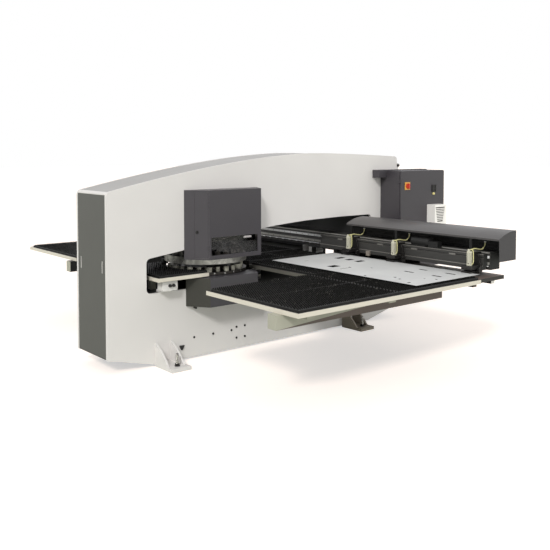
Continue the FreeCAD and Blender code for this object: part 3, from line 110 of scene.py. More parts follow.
def finish(name, colour, rough, metal=0.0, grain=3.0, bump=0.02, edge=1.5, speckle=0.04, wear_and_highlight=None):
    """A painted, moulded or metal finish.

    grain is the size of its fine texture in mm, bump its height in mm, edge the radius
    of the rounded edges in mm, speckle how far the colour wanders, wear_and_highlight the
    edges' colour, partly wear and partly a painted highlight."""
    made, tree = new_material(name)
    place = node(tree, "ShaderNodeTexCoord").outputs["Object"]
    fine = node(tree, "ShaderNodeTexNoise", Vector=place, Scale=1000.0 / grain, Detail=2.0)
    wide = node(tree, "ShaderNodeTexNoise", Vector=place, Scale=2.2, Detail=3.0)
    tone = node(tree, "ShaderNodeMapRange", Value=wide.outputs["Fac"], From_Min=0.3, From_Max=0.7,
                To_Min=1.0 - speckle, To_Max=1.0 + speckle)
    paint = node(tree, "ShaderNodeHueSaturation", Color=linear(colour),
                 Value=tone.outputs["Result"])
    gloss = node(tree, "ShaderNodeMapRange", Value=wide.outputs["Fac"], From_Min=0.3, From_Max=0.7,
                 To_Min=rough - 0.04, To_Max=rough + 0.05)
    rounded = node(tree, "ShaderNodeBevel", samples=4, Radius=edge / 1000)
    relief = node(tree, "ShaderNodeBump", Height=fine.outputs["Fac"], Distance=bump / 1000,
                  Strength=0.6, Normal=rounded.outputs["Normal"])
    colour_out = paint.outputs["Color"]
    # Partly wear and partly painted highlight: the edges turn to a lighter colour.
    if wear_and_highlight:
        flat = node(tree, "ShaderNodeNewGeometry").outputs["Normal"]
        turn = node(tree, "ShaderNodeVectorMath", {0: flat, 1: rounded.outputs["Normal"]},
                    operation="DOT_PRODUCT")
        edge_share = node(tree, "ShaderNodeMapRange", Value=turn.outputs["Value"], From_Min=0.96,
                   From_Max=0.8, To_Min=0.0, To_Max=0.8)
        mixed = node(tree, "ShaderNodeMix",
                     {0: edge_share.outputs["Result"], 6: colour_out, 7: linear(wear_and_highlight)}, data_type="RGBA")
        colour_out = mixed.outputs[2]
    shader = node(tree, "ShaderNodeBsdfPrincipled", Base_Color=colour_out, Metallic=metal,
                  Roughness=gloss.outputs["Result"], Normal=relief.outputs["Normal"])
    node(tree, "ShaderNodeOutputMaterial", Surface=shader.outputs["BSDF"])
    return made


# %% [markdown]
# Most of the press is welded and folded steel, sprayed with two-pack enamel. The gun leaves
# a slight orange peel about 3 mm across, which softens the highlight. The frame is a light
# warm grey, the covers dark grey, and what moves in the throat is black.

# %% Painted sheet metal
FINISHES = {
    "frame_paint": finish("light grey enamel", "#D9D6D3", 0.4, speckle=0.015, edge=2.5,
                          wear_and_highlight="#F2F0EC"),
    # Painted shade: this mid grey is darker than the plates' paint and stands for shade on the top
    # cover.
    "cover_grey": finish("mid grey with painted shade", "#9C9A98", 0.42, speckle=0.02),
    "dark_paint": finish("dark grey enamel", "#3E3B3F", 0.4, speckle=0.03, wear_and_highlight="#666467"),
    "panel_paint": finish("warm grey enamel", "#50504C", 0.45, speckle=0.03, wear_and_highlight="#8A8884"),
    "inner_paint": finish("black enamel", "#191817", 0.46, speckle=0.1, wear_and_highlight="#6D6A66"),
    "support_paint": finish("grey green enamel", "#A7A697", 0.5, wear_and_highlight="#C8CABB"),
    "cooler_paint": finish("pale grey enamel", "#F4F1EC", 0.42, wear_and_highlight="#F4F2EE"),
}
# Painted light and shade: except the satin grey and the satin black, the paints below are darker or
# lighter copies that stand for shade and light on faces by where they lie.
SHADE_BROWN_RIGHT = finish("brown grey painted shade", "#62564F", 0.5, speckle=0.12, wear_and_highlight="#857A72")
FOOT_SHADE_GREY = finish("foot grey painted shade", "#8A8174", 0.55, speckle=0.12, wear_and_highlight="#A39B8E")
HOUSING_SHADED_GREY = finish("housing grey, shaded copy", "#34332D", 0.45, speckle=0.08, wear_and_highlight="#5A5952")
HOOD_GREY = finish("satin grey enamel", "#4B4949", 0.36, speckle=0.03, wear_and_highlight="#7C7A7B")
HOOD_END = finish("shaded grey enamel", "#3A383A", 0.45, speckle=0.03, wear_and_highlight="#5A585A")
HOUSING_LIT_GREY = finish("housing grey, lit copy", "#424044", 0.42, speckle=0.05, wear_and_highlight="#6A686C")
RUNWAY_EDGE_SHADE = finish("dark brown painted shade", "#221F1D", 0.5, speckle=0.1)
BAR_BLACK = finish("satin black enamel", "#3A3937", 0.42, speckle=0.12, wear_and_highlight="#8A8782")
SHADE_BLACK = finish("black painted shade", "#0E0E0D", 0.6, speckle=0.1)
EXTRA_PAINTS = (SHADE_BROWN_RIGHT, FOOT_SHADE_GREY, HOUSING_SHADED_GREY, HOOD_GREY, HOOD_END, HOUSING_LIT_GREY,
                RUNWAY_EDGE_SHADE, BAR_BLACK, SHADE_BLACK)
print("painted finishes:", len(FINISHES) + len(EXTRA_PAINTS))

# %% [markdown]
# Bare metals keep the marks of how they were made. Ground steel is bright with a fine grain,
# blackened steel is dark and only half metallic, and anodised alloy is pale and soft. The
# sheet being punched is cold rolled steel, whose oil film makes it nearly white from here.

# %% Metals
FINISHES.update({
    "steel": finish("ground steel", "#8F8D8A", 0.36, 0.9, bump=0.004, speckle=0.12),
    "dark_steel": finish("blackened steel", "#262423", 0.4, 0.5, speckle=0.12, wear_and_highlight="#8B8783"),
    "sheet_steel": finish("cold rolled sheet", "#D1D2D1", 0.5, 0.25, grain=9.0, bump=0.003,
                          speckle=0.07),
    "zinc": finish("zinc plating", "#C4C2BC", 0.25, 1.0),
    "alloy": finish("anodised alloy", "#D6D3BF", 0.4, 0.15, wear_and_highlight="#EDEBDD"),
    "edging": finish("anodised edging", "#D6D0C2", 0.45, 0.1, speckle=0.03),
})
# Partly worn metal and partly painted highlight: pale strips along edges that catch the light.
WEAR_AND_EDGE_HIGHLIGHT = finish("worn metal and painted edge highlight", "#8B8883", 0.4, 0.5, speckle=0.25)
BRIGHT_STEEL = finish("polished steel", "#D8D6D2", 0.22, 1.0, bump=0.002)
RAIL_STEEL = finish("greased rail steel", "#A9A7A2", 0.4, 0.4, bump=0.004, speckle=0.1)
RAIL_HIGHLIGHT = finish("rail steel, painted highlight", "#FFFFFF", 0.4, 0.0, bump=0.004, speckle=0.05)
CLIP_HIGHLIGHT_WHITE = finish("white clips, painted highlight", "#FFFFFF", 0.5, 0.0, bump=0.004, speckle=0.02)
RACK_STEEL = finish("greased rack steel", "#3B3937", 0.5, 0.4, bump=0.01, speckle=0.3)
print("finishes so far:", len(FINISHES))

# %% [markdown]
# The pale stripe on the rails in the throat is a painted highlight. A real rail mirrors a
# bright hall, and this plain studio has none, so the stripe is drawn pale and not metallic,
# and a Mix node fades it along the beam to the rail's grey: the fall-off of that light is
# painted too.

# %% Rail highlight
def fading(material, colour, near, far):
    """Mix a finish towards another colour along Y, from near to far in drawing mm."""
    tree = material.node_tree
    shader = tree.nodes["Principled BSDF"]
    place = node(tree, "ShaderNodeTexCoord").outputs["Object"]
    along = node(tree, "ShaderNodeSeparateXYZ", Vector=place).outputs["Y"]
    amount = node(tree, "ShaderNodeMapRange", Value=along, From_Min=at(0.0, near, 0.0).y,
                  From_Max=at(0.0, far, 0.0).y)
    clean = shader.inputs["Base Color"].links[0].from_socket
    mixed = node(tree, "ShaderNodeMix", {0: amount.outputs["Result"], 6: clean, 7: linear(colour)},
                 data_type="RGBA")
    tree.links.new(mixed.outputs[2], shader.inputs["Base Color"])


HIGHLIGHT_UNTIL = 900.0
HIGHLIGHT_GONE_AT = 1900.0
fading(RAIL_HIGHLIGHT, "#A9A7A2", HIGHLIGHT_UNTIL, HIGHLIGHT_GONE_AT)
print("rails fade from", HIGHLIGHT_UNTIL, "to", HIGHLIGHT_GONE_AT, "mm")

# %% [markdown]
# Two edges are drawn darker wherever they are seen: the cut edges of the holes in the sheet,
# whose dark is painted shade, and the far half of the tables' edging, which gets a darker grey.

# %% Dull edges
CUT_EDGE = finish("shaded cut edge", "#2A2A29", 0.6, 0.3)
DULL_EDGING = finish("darker grey edging", "#6F6D66", 0.45, 0.4, speckle=0.1)
print("dull edges:", CUT_EDGE.name, "and", DULL_EDGING.name)

# %% [markdown]
# Mouldings are plastic: nearly no texture, a little gloss. The lens and the lamp are pale
# and even. The lamp in the cover is on, so its diffuser gives off a little light.

# %% Mouldings
FINISHES.update({
    "white_plastic": finish("white moulding", "#DEDCD8", 0.4),
    "black_plastic": finish("black moulding", "#1B1919", 0.45),
    "hose": finish("pale yellow hose", "#D9D49B", 0.3),
    "red": finish("red moulding", "#C0402F", 0.3),
    "yellow": finish("yellow moulding", "#D9A24A", 0.4),
    "lamp": finish("lamp diffuser", "#F2F2F0", 0.5),
    "lens": finish("pale yellow lens", "#DDD08C", 0.25),
})
glow = FINISHES["lamp"].node_tree.nodes["Principled BSDF"]
glow.inputs["Emission Color"].default_value = linear("#FFFFFF")
glow.inputs["Emission Strength"].default_value = 0.9

# %% Clear pane
pane, tree = new_material("clear pane")
glass = node(tree, "ShaderNodeBsdfPrincipled", Base_Color=linear("#B4B0AE"), Roughness=0.05,
             IOR=1.45)
glass.inputs["Transmission Weight"].default_value = 1.0
node(tree, "ShaderNodeOutputMaterial", Surface=glass.outputs["BSDF"])
FINISHES["clear"] = pane
print("finishes:", len(FINISHES))

# %% [markdown]
# The tables are covered with black nylon brushes. Most tufts are clean, and here and there
# one is pale with dust and burrs. A cell pattern as wide as one tuft picks those few.

# %% Nylon tufts
TUFT_PITCH = 24.0
BRISTLE = 1.6


def tuft_finish():
    """Black nylon with a pale tuft here and there."""
    made, tree = new_material("black nylon tufts")
    place = node(tree, "ShaderNodeTexCoord").outputs["Object"]
    cell = node(tree, "ShaderNodeTexVoronoi", Vector=place, Scale=1000.0 / TUFT_PITCH)
    pick = node(tree, "ShaderNodeSeparateColor", Color=cell.outputs["Color"])
    rare = node(tree, "ShaderNodeMapRange", Value=pick.outputs["Red"], From_Min=0.975, From_Max=1.0,
                To_Min=0.0, To_Max=0.8)
    paint = node(tree, "ShaderNodeMix",
                 {0: rare.outputs["Result"], 6: linear("#0A0A08"), 7: linear("#5E5C56")},
                 data_type="RGBA")
    hair = node(tree, "ShaderNodeTexNoise", Vector=place, Scale=1000.0 / BRISTLE, Detail=2.0)
    relief = node(tree, "ShaderNodeBump", Height=hair.outputs["Fac"], Distance=0.0006, Strength=0.8)
    shader = node(tree, "ShaderNodeBsdfPrincipled", Base_Color=paint.outputs[2], Roughness=0.7,
                  Specular_IOR_Level=0.15, Normal=relief.outputs["Normal"])
    node(tree, "ShaderNodeOutputMaterial", Surface=shader.outputs["BSDF"])
    return made


FINISHES["brush"] = tuft_finish()

# %% [markdown]
# The two turrets are turned on a lathe, and the tool leaves rings round the axis. The real
# rings are a fraction of a millimetre apart, too fine for this picture, so they are drawn
# 7 mm apart.

# %% Turned steel
TURRET_X = 1430.0
TURRET_Y = 335.0
TURRET = at(TURRET_X, TURRET_Y, 0.0)
RING_GAP = 0.007
WAVE_TURNS = 20


def turned_steel(name, colour, rough):
    """Lathe-turned steel with rings round the turrets' axis."""
    made, tree = new_material(name)
    place = node(tree, "ShaderNodeTexCoord").outputs["Object"]
    centred = node(tree, "ShaderNodeMapping", Vector=place, Location=-TURRET)
    rings = node(tree, "ShaderNodeTexWave", wave_type="RINGS", rings_direction="Z", Distortion=0.6,
                 Vector=centred.outputs["Vector"], Scale=2 * math.pi / (WAVE_TURNS * RING_GAP),
                 Detail=1.0)
    stain = node(tree, "ShaderNodeTexNoise", Vector=place, Scale=14.0, Detail=3.0)
    tone = node(tree, "ShaderNodeMapRange", Value=stain.outputs["Fac"], From_Min=0.35,
                From_Max=0.65, To_Min=0.6, To_Max=1.15)
    metal = node(tree, "ShaderNodeHueSaturation", Color=linear(colour),
                 Value=tone.outputs["Result"])
    rounded = node(tree, "ShaderNodeBevel", samples=4, Radius=0.0015)
    relief = node(tree, "ShaderNodeBump", Height=rings.outputs["Fac"], Distance=0.0002,
                  Strength=0.5, Normal=rounded.outputs["Normal"])
    shader = node(tree, "ShaderNodeBsdfPrincipled", Base_Color=metal.outputs["Color"],
                  Metallic=0.75, Roughness=rough, Normal=relief.outputs["Normal"])
    node(tree, "ShaderNodeOutputMaterial", Surface=shader.outputs["BSDF"])
    return made


TURNED = turned_steel("turned steel", "#C4C2BB", 0.42)
OILED = turned_steel("oiled turned steel", "#3C3936", 0.42)
DIE_STEEL = turned_steel("ground die steel", "#B5B3A6", 0.45)

# %% Give each CAD piece its finish
# Painted shade: the motor under the hood is black.
SPECIAL = {"upper_turret": TURNED, "lower_turret": OILED, "die_holders": DIE_STEEL,
           "carriage_motor": SHADE_BLACK, "slot_blocks": WEAR_AND_EDGE_HIGHLIGHT, "beam_rails": RAIL_STEEL,
           "lower_housing": HOUSING_SHADED_GREY, "front_hood": HOOD_GREY, "rear_hood": HOOD_GREY,
           "carriage_bar": BAR_BLACK, "cross_beam": BAR_BLACK}
for row in frame["record"]["subparts"]:
    piece = nodes[row["node"]]
    piece.data.materials.clear()
    piece.data.materials.append(SPECIAL.get(row["node"], FINISHES[row["material_slot"]]))
print("dressed:", len(nodes))

# %% [markdown]
# A few CAD pieces carry two or more finishes. The supports, trays and feet on the right are
# drawn darker and browner than the rest, and what faces away in the throat is drawn black:
# that is painted shade. Faces are picked by where they lie and get a further material slot
# of the piece. The mesh itself isn't touched.

# %% Second finishes by place
def second_finish(name, material, test):
    """Give the faces of a CAD piece whose middle passes the test another finish."""
    mesh = nodes[name].data
    mesh.materials.append(material)
    slot = len(mesh.materials) - 1
    count = 0
    for face in mesh.polygons:
        middle = face.center
        x = middle.x * 1000 + DRAWING_ORIGIN[0]
        y = middle.y * 1000 + DRAWING_ORIGIN[1]
        if test(x, y, middle.z * 1000, face.normal):
            face.material_index = slot
            count += 1
    print(name, "faces with", material.name + ":", count)


second_finish("table_edging", DULL_EDGING,
              lambda x, y, z, n: 1150 < x < 2900 and -2290 < y < 900 and n.x < 0.9)
# Painted shade: brown grey on the supports to the right, under the front table.
second_finish("table_supports", SHADE_BROWN_RIGHT,
              lambda x, y, z, n: x > 1900 and n.x < 0.5 and y < -1900)
# Painted shade: black on the supports in the throat and behind it.
second_finish("table_supports", SHADE_BLACK,
              lambda x, y, z, n: (x > 1900 and -1900 < y < 1800) or (x > 1000 and y > 1700))
second_finish("table_supports", FINISHES["cooler_paint"], lambda x, y, z, n: x > 3270 and y < -1500)
RUNWAY_X = 3015
# Painted shade: brown grey on the runway's tray.
second_finish("table_trays", SHADE_BROWN_RIGHT,
              lambda x, y, z, n: x > RUNWAY_X and y < -900 and n.y > -0.5)
# Painted shade: the runway tray's front faces are near black.
second_finish("table_trays", RUNWAY_EDGE_SHADE,
              lambda x, y, z, n: x > RUNWAY_X and y < -900 and n.y < -0.5)
# Painted shade: the right front foot is drawn darker, in the table's shade.
second_finish("levelling_feet", FOOT_SHADE_GREY, lambda x, y, z, n: x > 3000 and y < 0)
# Painted shade: black on the beam's back, its near end and its underside.
second_finish("cross_beam", SHADE_BLACK, lambda x, y, z, n: x > 3486 or y < -2190 or z < 1020)
# Painted shade: black on the bar's top and its near end.
second_finish("carriage_bar", SHADE_BLACK, lambda x, y, z, n: z > 1186 or y < -2185)
# Painted light and shade: the lower housing is a darker grey, with a lighter copy on its front and
# top faces.
second_finish("lower_housing", HOUSING_LIT_GREY, lambda x, y, z, n: n.y < -0.9 or n.z > 0.5)
second_finish("front_hood", HOOD_END, lambda x, y, z, n: n.y < -0.9 and y < -2360)
second_finish("upper_turret", OILED, lambda x, y, z, n: z < 1024 or z > 1100)
second_finish("beam_rails", RACK_STEEL, lambda x, y, z, n: z < 1040)
# Painted highlight: a white stripe on the rail between these heights.
second_finish("beam_rails", RAIL_HIGHLIGHT, lambda x, y, z, n: 1118 < z < 1170)
# Painted shade: the cut edges of the holes are near black.
second_finish("workpiece", CUT_EDGE,
              lambda x, y, z, n: abs(n.z) < 0.5 and 2080 < x < 3070 and -2235 < y < -95)


def inside_hood(x, y, z, n):
    """Whether a face looks into its hood: the back wall, the ceiling or inside an end."""
    back = n.x < -0.5 and 3540 < x < 3548
    ceiling = n.z < -0.3 and z > 1300
    end = abs(n.y) > 0.9 and 3250 < x < 3545 and abs(abs(y - TURRET_Y) - 2697) < 1.5
    return back or ceiling or end


# Painted shade: black where faces look into the hoods.
for hood in ("front_hood", "rear_hood"):
    second_finish(hood, SHADE_BLACK, inside_hood)

# %% [markdown]
# ## Pieces added on top of the CAD
# Each piece added here is built in drawing millimetres, turned to metres by the function
# above, and rides on the body that carries it. Small hard pieces come from three shapes: a
# bevelled block, a turned profile and a tube along a path.

# %% Helpers for pieces
def settle(piece, body):
    """Link a piece to the scene and to the body that it rides on."""
    if piece.name not in bpy.context.scene.collection.objects:
        bpy.context.scene.collection.objects.link(piece)
    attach(piece, body)
    return piece


def make(name, bm, material, body):
    """Turn a bmesh in model metres into a piece with its finish."""
    bmesh.ops.recalc_face_normals(bm, faces=bm.faces)
    mesh = bpy.data.meshes.new(name)
    bm.to_mesh(mesh)
    bm.free()
    mesh.materials.append(material)
    print(name, "faces:", len(mesh.polygons))
    return settle(bpy.data.objects.new(name, mesh), body)


def block(bm, low, high, soft=0.6):
    """A block between two corners, its edges bevelled by soft mm."""
    corners = [at(x, y, z) for x in (low[0], high[0]) for y in (low[1], high[1])
               for z in (low[2], high[2])]
    verts = [bm.verts.new(corner) for corner in corners]
    sides = ((0, 1, 3, 2), (4, 6, 7, 5), (0, 4, 5, 1), (2, 3, 7, 6), (0, 2, 6, 4), (1, 5, 7, 3))
    faces = [bm.faces.new([verts[i] for i in side]) for side in sides]
    edges = list({edge for face in faces for edge in face.edges})
    if soft:
        bmesh.ops.bevel(bm, geom=edges, offset=soft / 1000, segments=1, affect="EDGES")


def turned(profile, sides):
    """A small turned shape in metres round Z, from (radius, height) in mm, for repeating."""
    bm = bmesh.new()
    rings = []
    for radius, height in profile:
        ring = []
        for i in range(sides):
            turn = 2 * math.pi * (i + 0.5) / sides
            ring.append(bm.verts.new((radius * math.cos(turn) / 1000,
                                      radius * math.sin(turn) / 1000, height / 1000)))
        rings.append(ring)
    for a, b in zip(rings, rings[1:]):
        for i in range(sides):
            j = (i + 1) % sides
            bm.faces.new((a[i], a[j], b[j], b[i]))
    bm.faces.new(rings[-1])
    mesh = bpy.data.meshes.new("shape")
    bm.to_mesh(mesh)
    bm.free()
    return mesh


# %% [markdown]
# ### One tree of nodes for everything that repeats
# Tufts, screws, springs, links and teeth are all one small shape set down at many places.
# Copying the shape by hand would work, but Geometry Nodes does it in one graph: Instance on
# Points sets the shape on each point, two Random Value nodes tilt and scale it a little,
# Realize Instances makes it real mesh, and Set Material gives it its finish.

# %% The scatter tree
def scatter_tree():
    """Geometry nodes that set a shape on every point of a mesh."""
    tree = bpy.data.node_groups.new("scatter", "GeometryNodeTree")
    for name, kind in (("Geometry", "Geometry"), ("Shape", "Object"), ("Turn", "Vector"),
                       ("Wobble", "Vector"), ("Least", "Float"), ("Most", "Float"), ("Seed", "Int"),
                       ("Finish", "Material")):
        tree.interface.new_socket(name, in_out="INPUT", socket_type="NodeSocket" + kind)
    tree.interface.new_socket("Geometry", in_out="OUTPUT", socket_type="NodeSocketGeometry")
    given = node(tree, "NodeGroupInput").outputs
    shape = node(tree, "GeometryNodeObjectInfo", Object=given["Shape"])
    back = node(tree, "ShaderNodeVectorMath", {0: given["Wobble"], 3: -1.0}, operation="SCALE")
    tilt = node(tree, "FunctionNodeRandomValue",
                {0: back.outputs[0], 1: given["Wobble"], "Seed": given["Seed"]},
                data_type="FLOAT_VECTOR")
    own = node(tree, "GeometryNodeInputNamedAttribute", Name="own_turn", data_type="FLOAT_VECTOR")
    both = node(tree, "ShaderNodeVectorMath", {0: own.outputs[0], 1: given["Turn"]},
                operation="ADD")
    lean = node(tree, "ShaderNodeVectorMath", {0: tilt.outputs[0], 1: both.outputs[0]},
                operation="ADD")
    size = node(tree, "FunctionNodeRandomValue",
                {2: given["Least"], 3: given["Most"], "Seed": given["Seed"]}, data_type="FLOAT")
    copies = node(tree, "GeometryNodeInstanceOnPoints", Points=given["Geometry"],
                  Instance=shape.outputs["Geometry"], Rotation=lean.outputs[0],
                  Scale=size.outputs[1])
    real = node(tree, "GeometryNodeRealizeInstances", Geometry=copies.outputs["Instances"])
    done = node(tree, "GeometryNodeSetMaterial", Geometry=real.outputs["Geometry"],
                Material=given["Finish"])
    node(tree, "NodeGroupOutput", Geometry=done.outputs["Geometry"])
    return tree


SCATTER = scatter_tree()
NEEDS = {item.name: item.identifier for item in SCATTER.interface.items_tree
         if item.in_out == "INPUT"}
print("scatter inputs:", list(NEEDS))


# %% Run the scatter tree
def scattered(name, places, shape, material, turn=(0.0, 0.0, 0.0), wobble=(0.0, 0.0, 0.0),
              least=1.0, most=1.0, seed=1, own_turns=()):
    """The shape set down at places (points of the model, in metres), as one plain mesh object."""
    points = bpy.data.meshes.new(name)
    points.from_pydata([tuple(place) for place in places], [], [])
    turns = points.attributes.new("own_turn", "FLOAT_VECTOR", "POINT")
    for item, own_turn in zip(turns.data, own_turns):
        item.vector = own_turn
    piece = bpy.data.objects.new(name, points)
    model = bpy.data.objects.new(name + "_shape", shape)
    for thing in (piece, model):
        bpy.context.scene.collection.objects.link(thing)
    grow = piece.modifiers.new("scatter", "NODES")
    grow.node_group = SCATTER
    values = {"Shape": model, "Turn": turn, "Wobble": wobble, "Least": least, "Most": most,
              "Seed": seed, "Finish": material}
    for key, value in values.items():
        grow[NEEDS[key]] = value
    ready = piece.evaluated_get(bpy.context.evaluated_depsgraph_get())
    mesh = bpy.data.meshes.new_from_object(ready)
    piece.modifiers.remove(grow)
    piece.data = mesh
    bpy.data.objects.remove(model)
    print(name, "copies:", len(places), "faces:", len(mesh.polygons))
    return piece


# %% [markdown]
# ### Brush tables
# The sheet slides on nylon tufts set in a board, so that it isn't scratched. One tuft is
# some forty bristles 12 mm high. From here a tuft is a speck, so each one is a plain four
# sided post that tapers and leans a little. The board is a copy of the CAD brush with its
# top lowered, and a ray cast down at each place of a staggered grid tells where it lies.

# %% Brush boards
BRUSH_TOP = 0.980
BOARD_TOP = 0.969
TUFT_MARGIN = 6.0
ROW_RATIO = 0.866
whole = bmesh.new()
whole.from_mesh(nodes["table_brushes"].data)
bmesh.ops.remove_doubles(whole, verts=whole.verts, dist=1e-5)
print("brush board faces:", len(whole.faces))
finder = BVHTree.FromBMesh(whole)


# %% Places of the tufts
def on_brush(x, y):
    """Whether a tuft at (x, y) in mm stands on a board, clear of its edge."""
    for across, along in ((-1, -1), (1, -1), (1, 1), (-1, 1)):
        above = at(x + across * TUFT_MARGIN, y + along * TUFT_MARGIN, 1200.0)
        hit = finder.ray_cast(above, Vector((0.0, 0.0, -1.0)))
        if hit[0] is None or hit[0].z < BRUSH_TOP - 0.002:
            return False
    return True


def tuft_places(y0, y1):
    """A staggered grid of places over the boards between y0 and y1."""
    places = []
    row = 0
    y = y0
    while y < y1:
        x = 540.0 + (row % 2) * TUFT_PITCH / 2
        while x < 3020.0:
            if on_brush(x, y):
                places.append(at(x, y, BOARD_TOP * 1000 - 1.0))
            x += TUFT_PITCH
        row += 1
        y += TUFT_PITCH * ROW_RATIO
    return places


stretches = [(-2290.0, -1000.0), (-1000.0, 1700.0), (1700.0, 3200.0)]
fields = [tuft_places(y0, y1) for y0, y1 in stretches]
print("tufts:", [len(field) for field in fields])

# %% Tufts and boards
TUFT = turned([(6.6, 0.0), (6.2, 7.0), (5.0, 11.6)], 4)
for vert in whole.verts:
    if vert.co.z > BOARD_TOP:
        vert.co.z = BOARD_TOP
boards = bpy.data.meshes.new("brush_boards")
whole.to_mesh(boards)
whole.free()
boards.materials.append(SHADE_BLACK)
board_piece = settle(bpy.data.objects.new("brush_boards", boards), "frame")
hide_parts("table_brushes")
for name, field in zip(("front_tufts", "inner_tufts", "rear_tufts"), fields):
    tufts = scattered(name, field, TUFT, FINISHES["brush"], wobble=(0.12, 0.12, 0.8), least=0.92,
                      most=1.03, seed=7)
    settle(tufts, "frame")
    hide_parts("table_brushes")

# %% [markdown]
# ### Screws
# Every rail, plate and cover is held by socket head cap screws. One screw is a turned
# profile: a head with a small chamfer and a socket in its middle. Rows of places along an
# edge are plain lists, and the tree above does the rest.

# %% Rows of places
def row(start, end, pitch):
    """Places in metres from start to end, in drawing mm, about a pitch apart."""
    a = at(*start)
    b = at(*end)
    count = max(1, round((b - a).length * 1000 / pitch))
    return [a.lerp(b, i / count) for i in range(count + 1)]


def screw(radius, height):
    """A socket head cap screw of a head radius and height in mm."""
    profile = [(radius, 0.0), (radius, 0.8 * height), (0.86 * radius, height),
               (0.5 * radius, height), (0.46 * radius, 0.3 * height)]
    return turned(profile, 8)


TO_FRONT = (math.pi / 2, 0.0, 0.0)
TO_LEFT = (0.0, -math.pi / 2, 0.0)

# %% Rail and table screws
RAIL_FACE = 3310.0
RAIL_PITCH = 120.0
rail_places = []
for level in (1142.5, 1074.5):
    rail_places += row((RAIL_FACE, -2150.0, level), (RAIL_FACE, 2820.0, level), RAIL_PITCH)
rail_screws = scattered("rail_screws", rail_places, screw(6.5, 0.25), BRIGHT_STEEL, turn=TO_LEFT)
settle(rail_screws, "cross beam")
EDGE_LEVEL = 930.5
left_places = []
for y0, y1 in ((-2230.0, -1060.0), (1880.0, 3160.0)):
    left_places += row((515.0, y0, EDGE_LEVEL), (515.0, y1, EDGE_LEVEL), 280.0)
front_places = row((590.0, -2308.0, EDGE_LEVEL), (2950.0, -2308.0, EDGE_LEVEL), 295.0)
for name, places, turn in (("edging_screws_left", left_places, TO_LEFT),
                           ("edging_screws_front", front_places, TO_FRONT)):
    screws = scattered(name, places, screw(4.0, 1.6), FINISHES["edging"], turn=turn)
    settle(screws, "frame")

# %% [markdown]
# ### Rack and beam trim
# The rack under the lower rail is bolted down through short pads. Above it runs a strip with
# plastic clips, and both are drawn white, a painted highlight that makes a broken line of
# light through the throat. Both stay below the runner blocks, which pass over them. The top
# of the beam's back sheet has a folded lip.

# %% Rack pads and clips
pads = bmesh.new()
clips = bmesh.new()
PAD_PITCH = 141
CLIPS_FROM = 310
pad_places = range(-2120, 2830, PAD_PITCH)
for place in pad_places:
    block(pads, (3303.0, place, 1021.0), (RAIL_FACE, place + 92.0, 1036.0))
    if place > CLIPS_FROM:
        block(clips, (3296.0, place, 1038.5), (3303.0, place + 44.0, 1049.0), 2.0)
make("rack_pads", pads, RACK_STEEL, "cross beam")
# Painted highlight: the plastic clips are pure white, so they read as dashes of light.
make("rail_clips", clips, CLIP_HIGHLIGHT_WHITE, "cross beam")
print("rack pads:", len(pad_places))

# %% Strip and lip
# Painted highlight: the strip is drawn white near the throat.
strip = bmesh.new()
block(strip, (3303.0, -2180.0, 1041.0), (3329.9, 2850.0, 1048.0), 0.3)
make("rail_strip", strip, RAIL_HIGHLIGHT, "cross beam")
lip = bmesh.new()
block(lip, (3497.0, -2180.0, 1184.0), (3499.6, 2860.0, 1190.0), 0.3)
make("beam_lip", lip, WEAR_AND_EDGE_HIGHLIGHT, "cross beam")

# %% [markdown]
# ### Turret stations
# Each punch stands in its holder on a strong spring that strips it back out of the sheet.
# The springs show through the cover's window and in the rear. A spring here is a stack of
# turned coils, round the holder's guide, one for each of the four holder sizes in turn.

# %% Punch springs and heads
STATIONS = 24
TOOL_CIRCLE = 400.0
RIM = 468.0
STATION_RADII = (44.0, 27.0, 35.0, 27.0)


def station(i, z):
    """The middle of a station of the tool circle, at a height in mm."""
    turn = 2 * math.pi * i / STATIONS
    return at(TURRET_X + TOOL_CIRCLE * math.cos(turn), TURRET_Y + TOOL_CIRCLE * math.sin(turn), z)


def pressed_ring(radius, outer, inner):
    """A shallow ring, its outer and inner edges given as pairs of shares of a radius in mm."""
    return turned([(outer[0] * radius, 0.0), (outer[1] * radius, 0.4), (inner[0] * radius, 0.4),
                   (inner[1] * radius, 0.05)], 16)


def coils(radius, low, high, count):
    """A stack of spring coils as one turned profile."""
    profile = []
    step = (high - low) / count
    for i in range(count):
        z = low + i * step
        profile += [(radius, z), (radius + 2.6, z + 0.3 * step), (radius + 2.6, z + 0.55 * step),
                    (radius, z + 0.85 * step)]
    profile.append((radius, high))
    return turned(profile, 16)


for group, radius in enumerate(STATION_RADII):
    mine = range(group, STATIONS, len(STATION_RADII))
    label = str(group + 1)
    springs = scattered("punch_springs_" + label, [station(i, 1102.0) for i in mine],
                        coils(radius + 0.6, 0.0, 50.0, 7), FINISHES["steel"])
    settle(springs, "upper turret")
    cap = pressed_ring(radius - 10, (0.84, 0.8), (0.3, 0.24))
    caps = scattered("punch_caps_" + label, [station(i, 1170.0) for i in mine], cap, BRIGHT_STEEL)
    settle(caps, "upper turret")
    lip = pressed_ring(radius - 2, (0.9, 0.88), (0.6, 0.58))
    lips = scattered("die_lips_" + label, [station(i, 985.0) for i in mine], lip, BRIGHT_STEEL)
    settle(lips, "lower turret")

# %% [markdown]
# The rims of both turrets carry a row of index bushings, one for each station, into which
# a pin locks the turret before a stroke. Each faces outwards, so each place brings its own
# turn with it as an attribute, and the tree adds it.

# %% Index bushings on the rims
def rim_places(radius, z):
    """Places and turns round the turret at a radius and height in mm."""
    places = []
    turns = []
    for i in range(STATIONS):
        turn = 2 * math.pi * (i + 0.5) / STATIONS
        places.append(at(TURRET_X + radius * math.cos(turn), TURRET_Y + radius * math.sin(turn), z))
        turns.append((0.0, math.pi / 2, turn))
    return places, turns


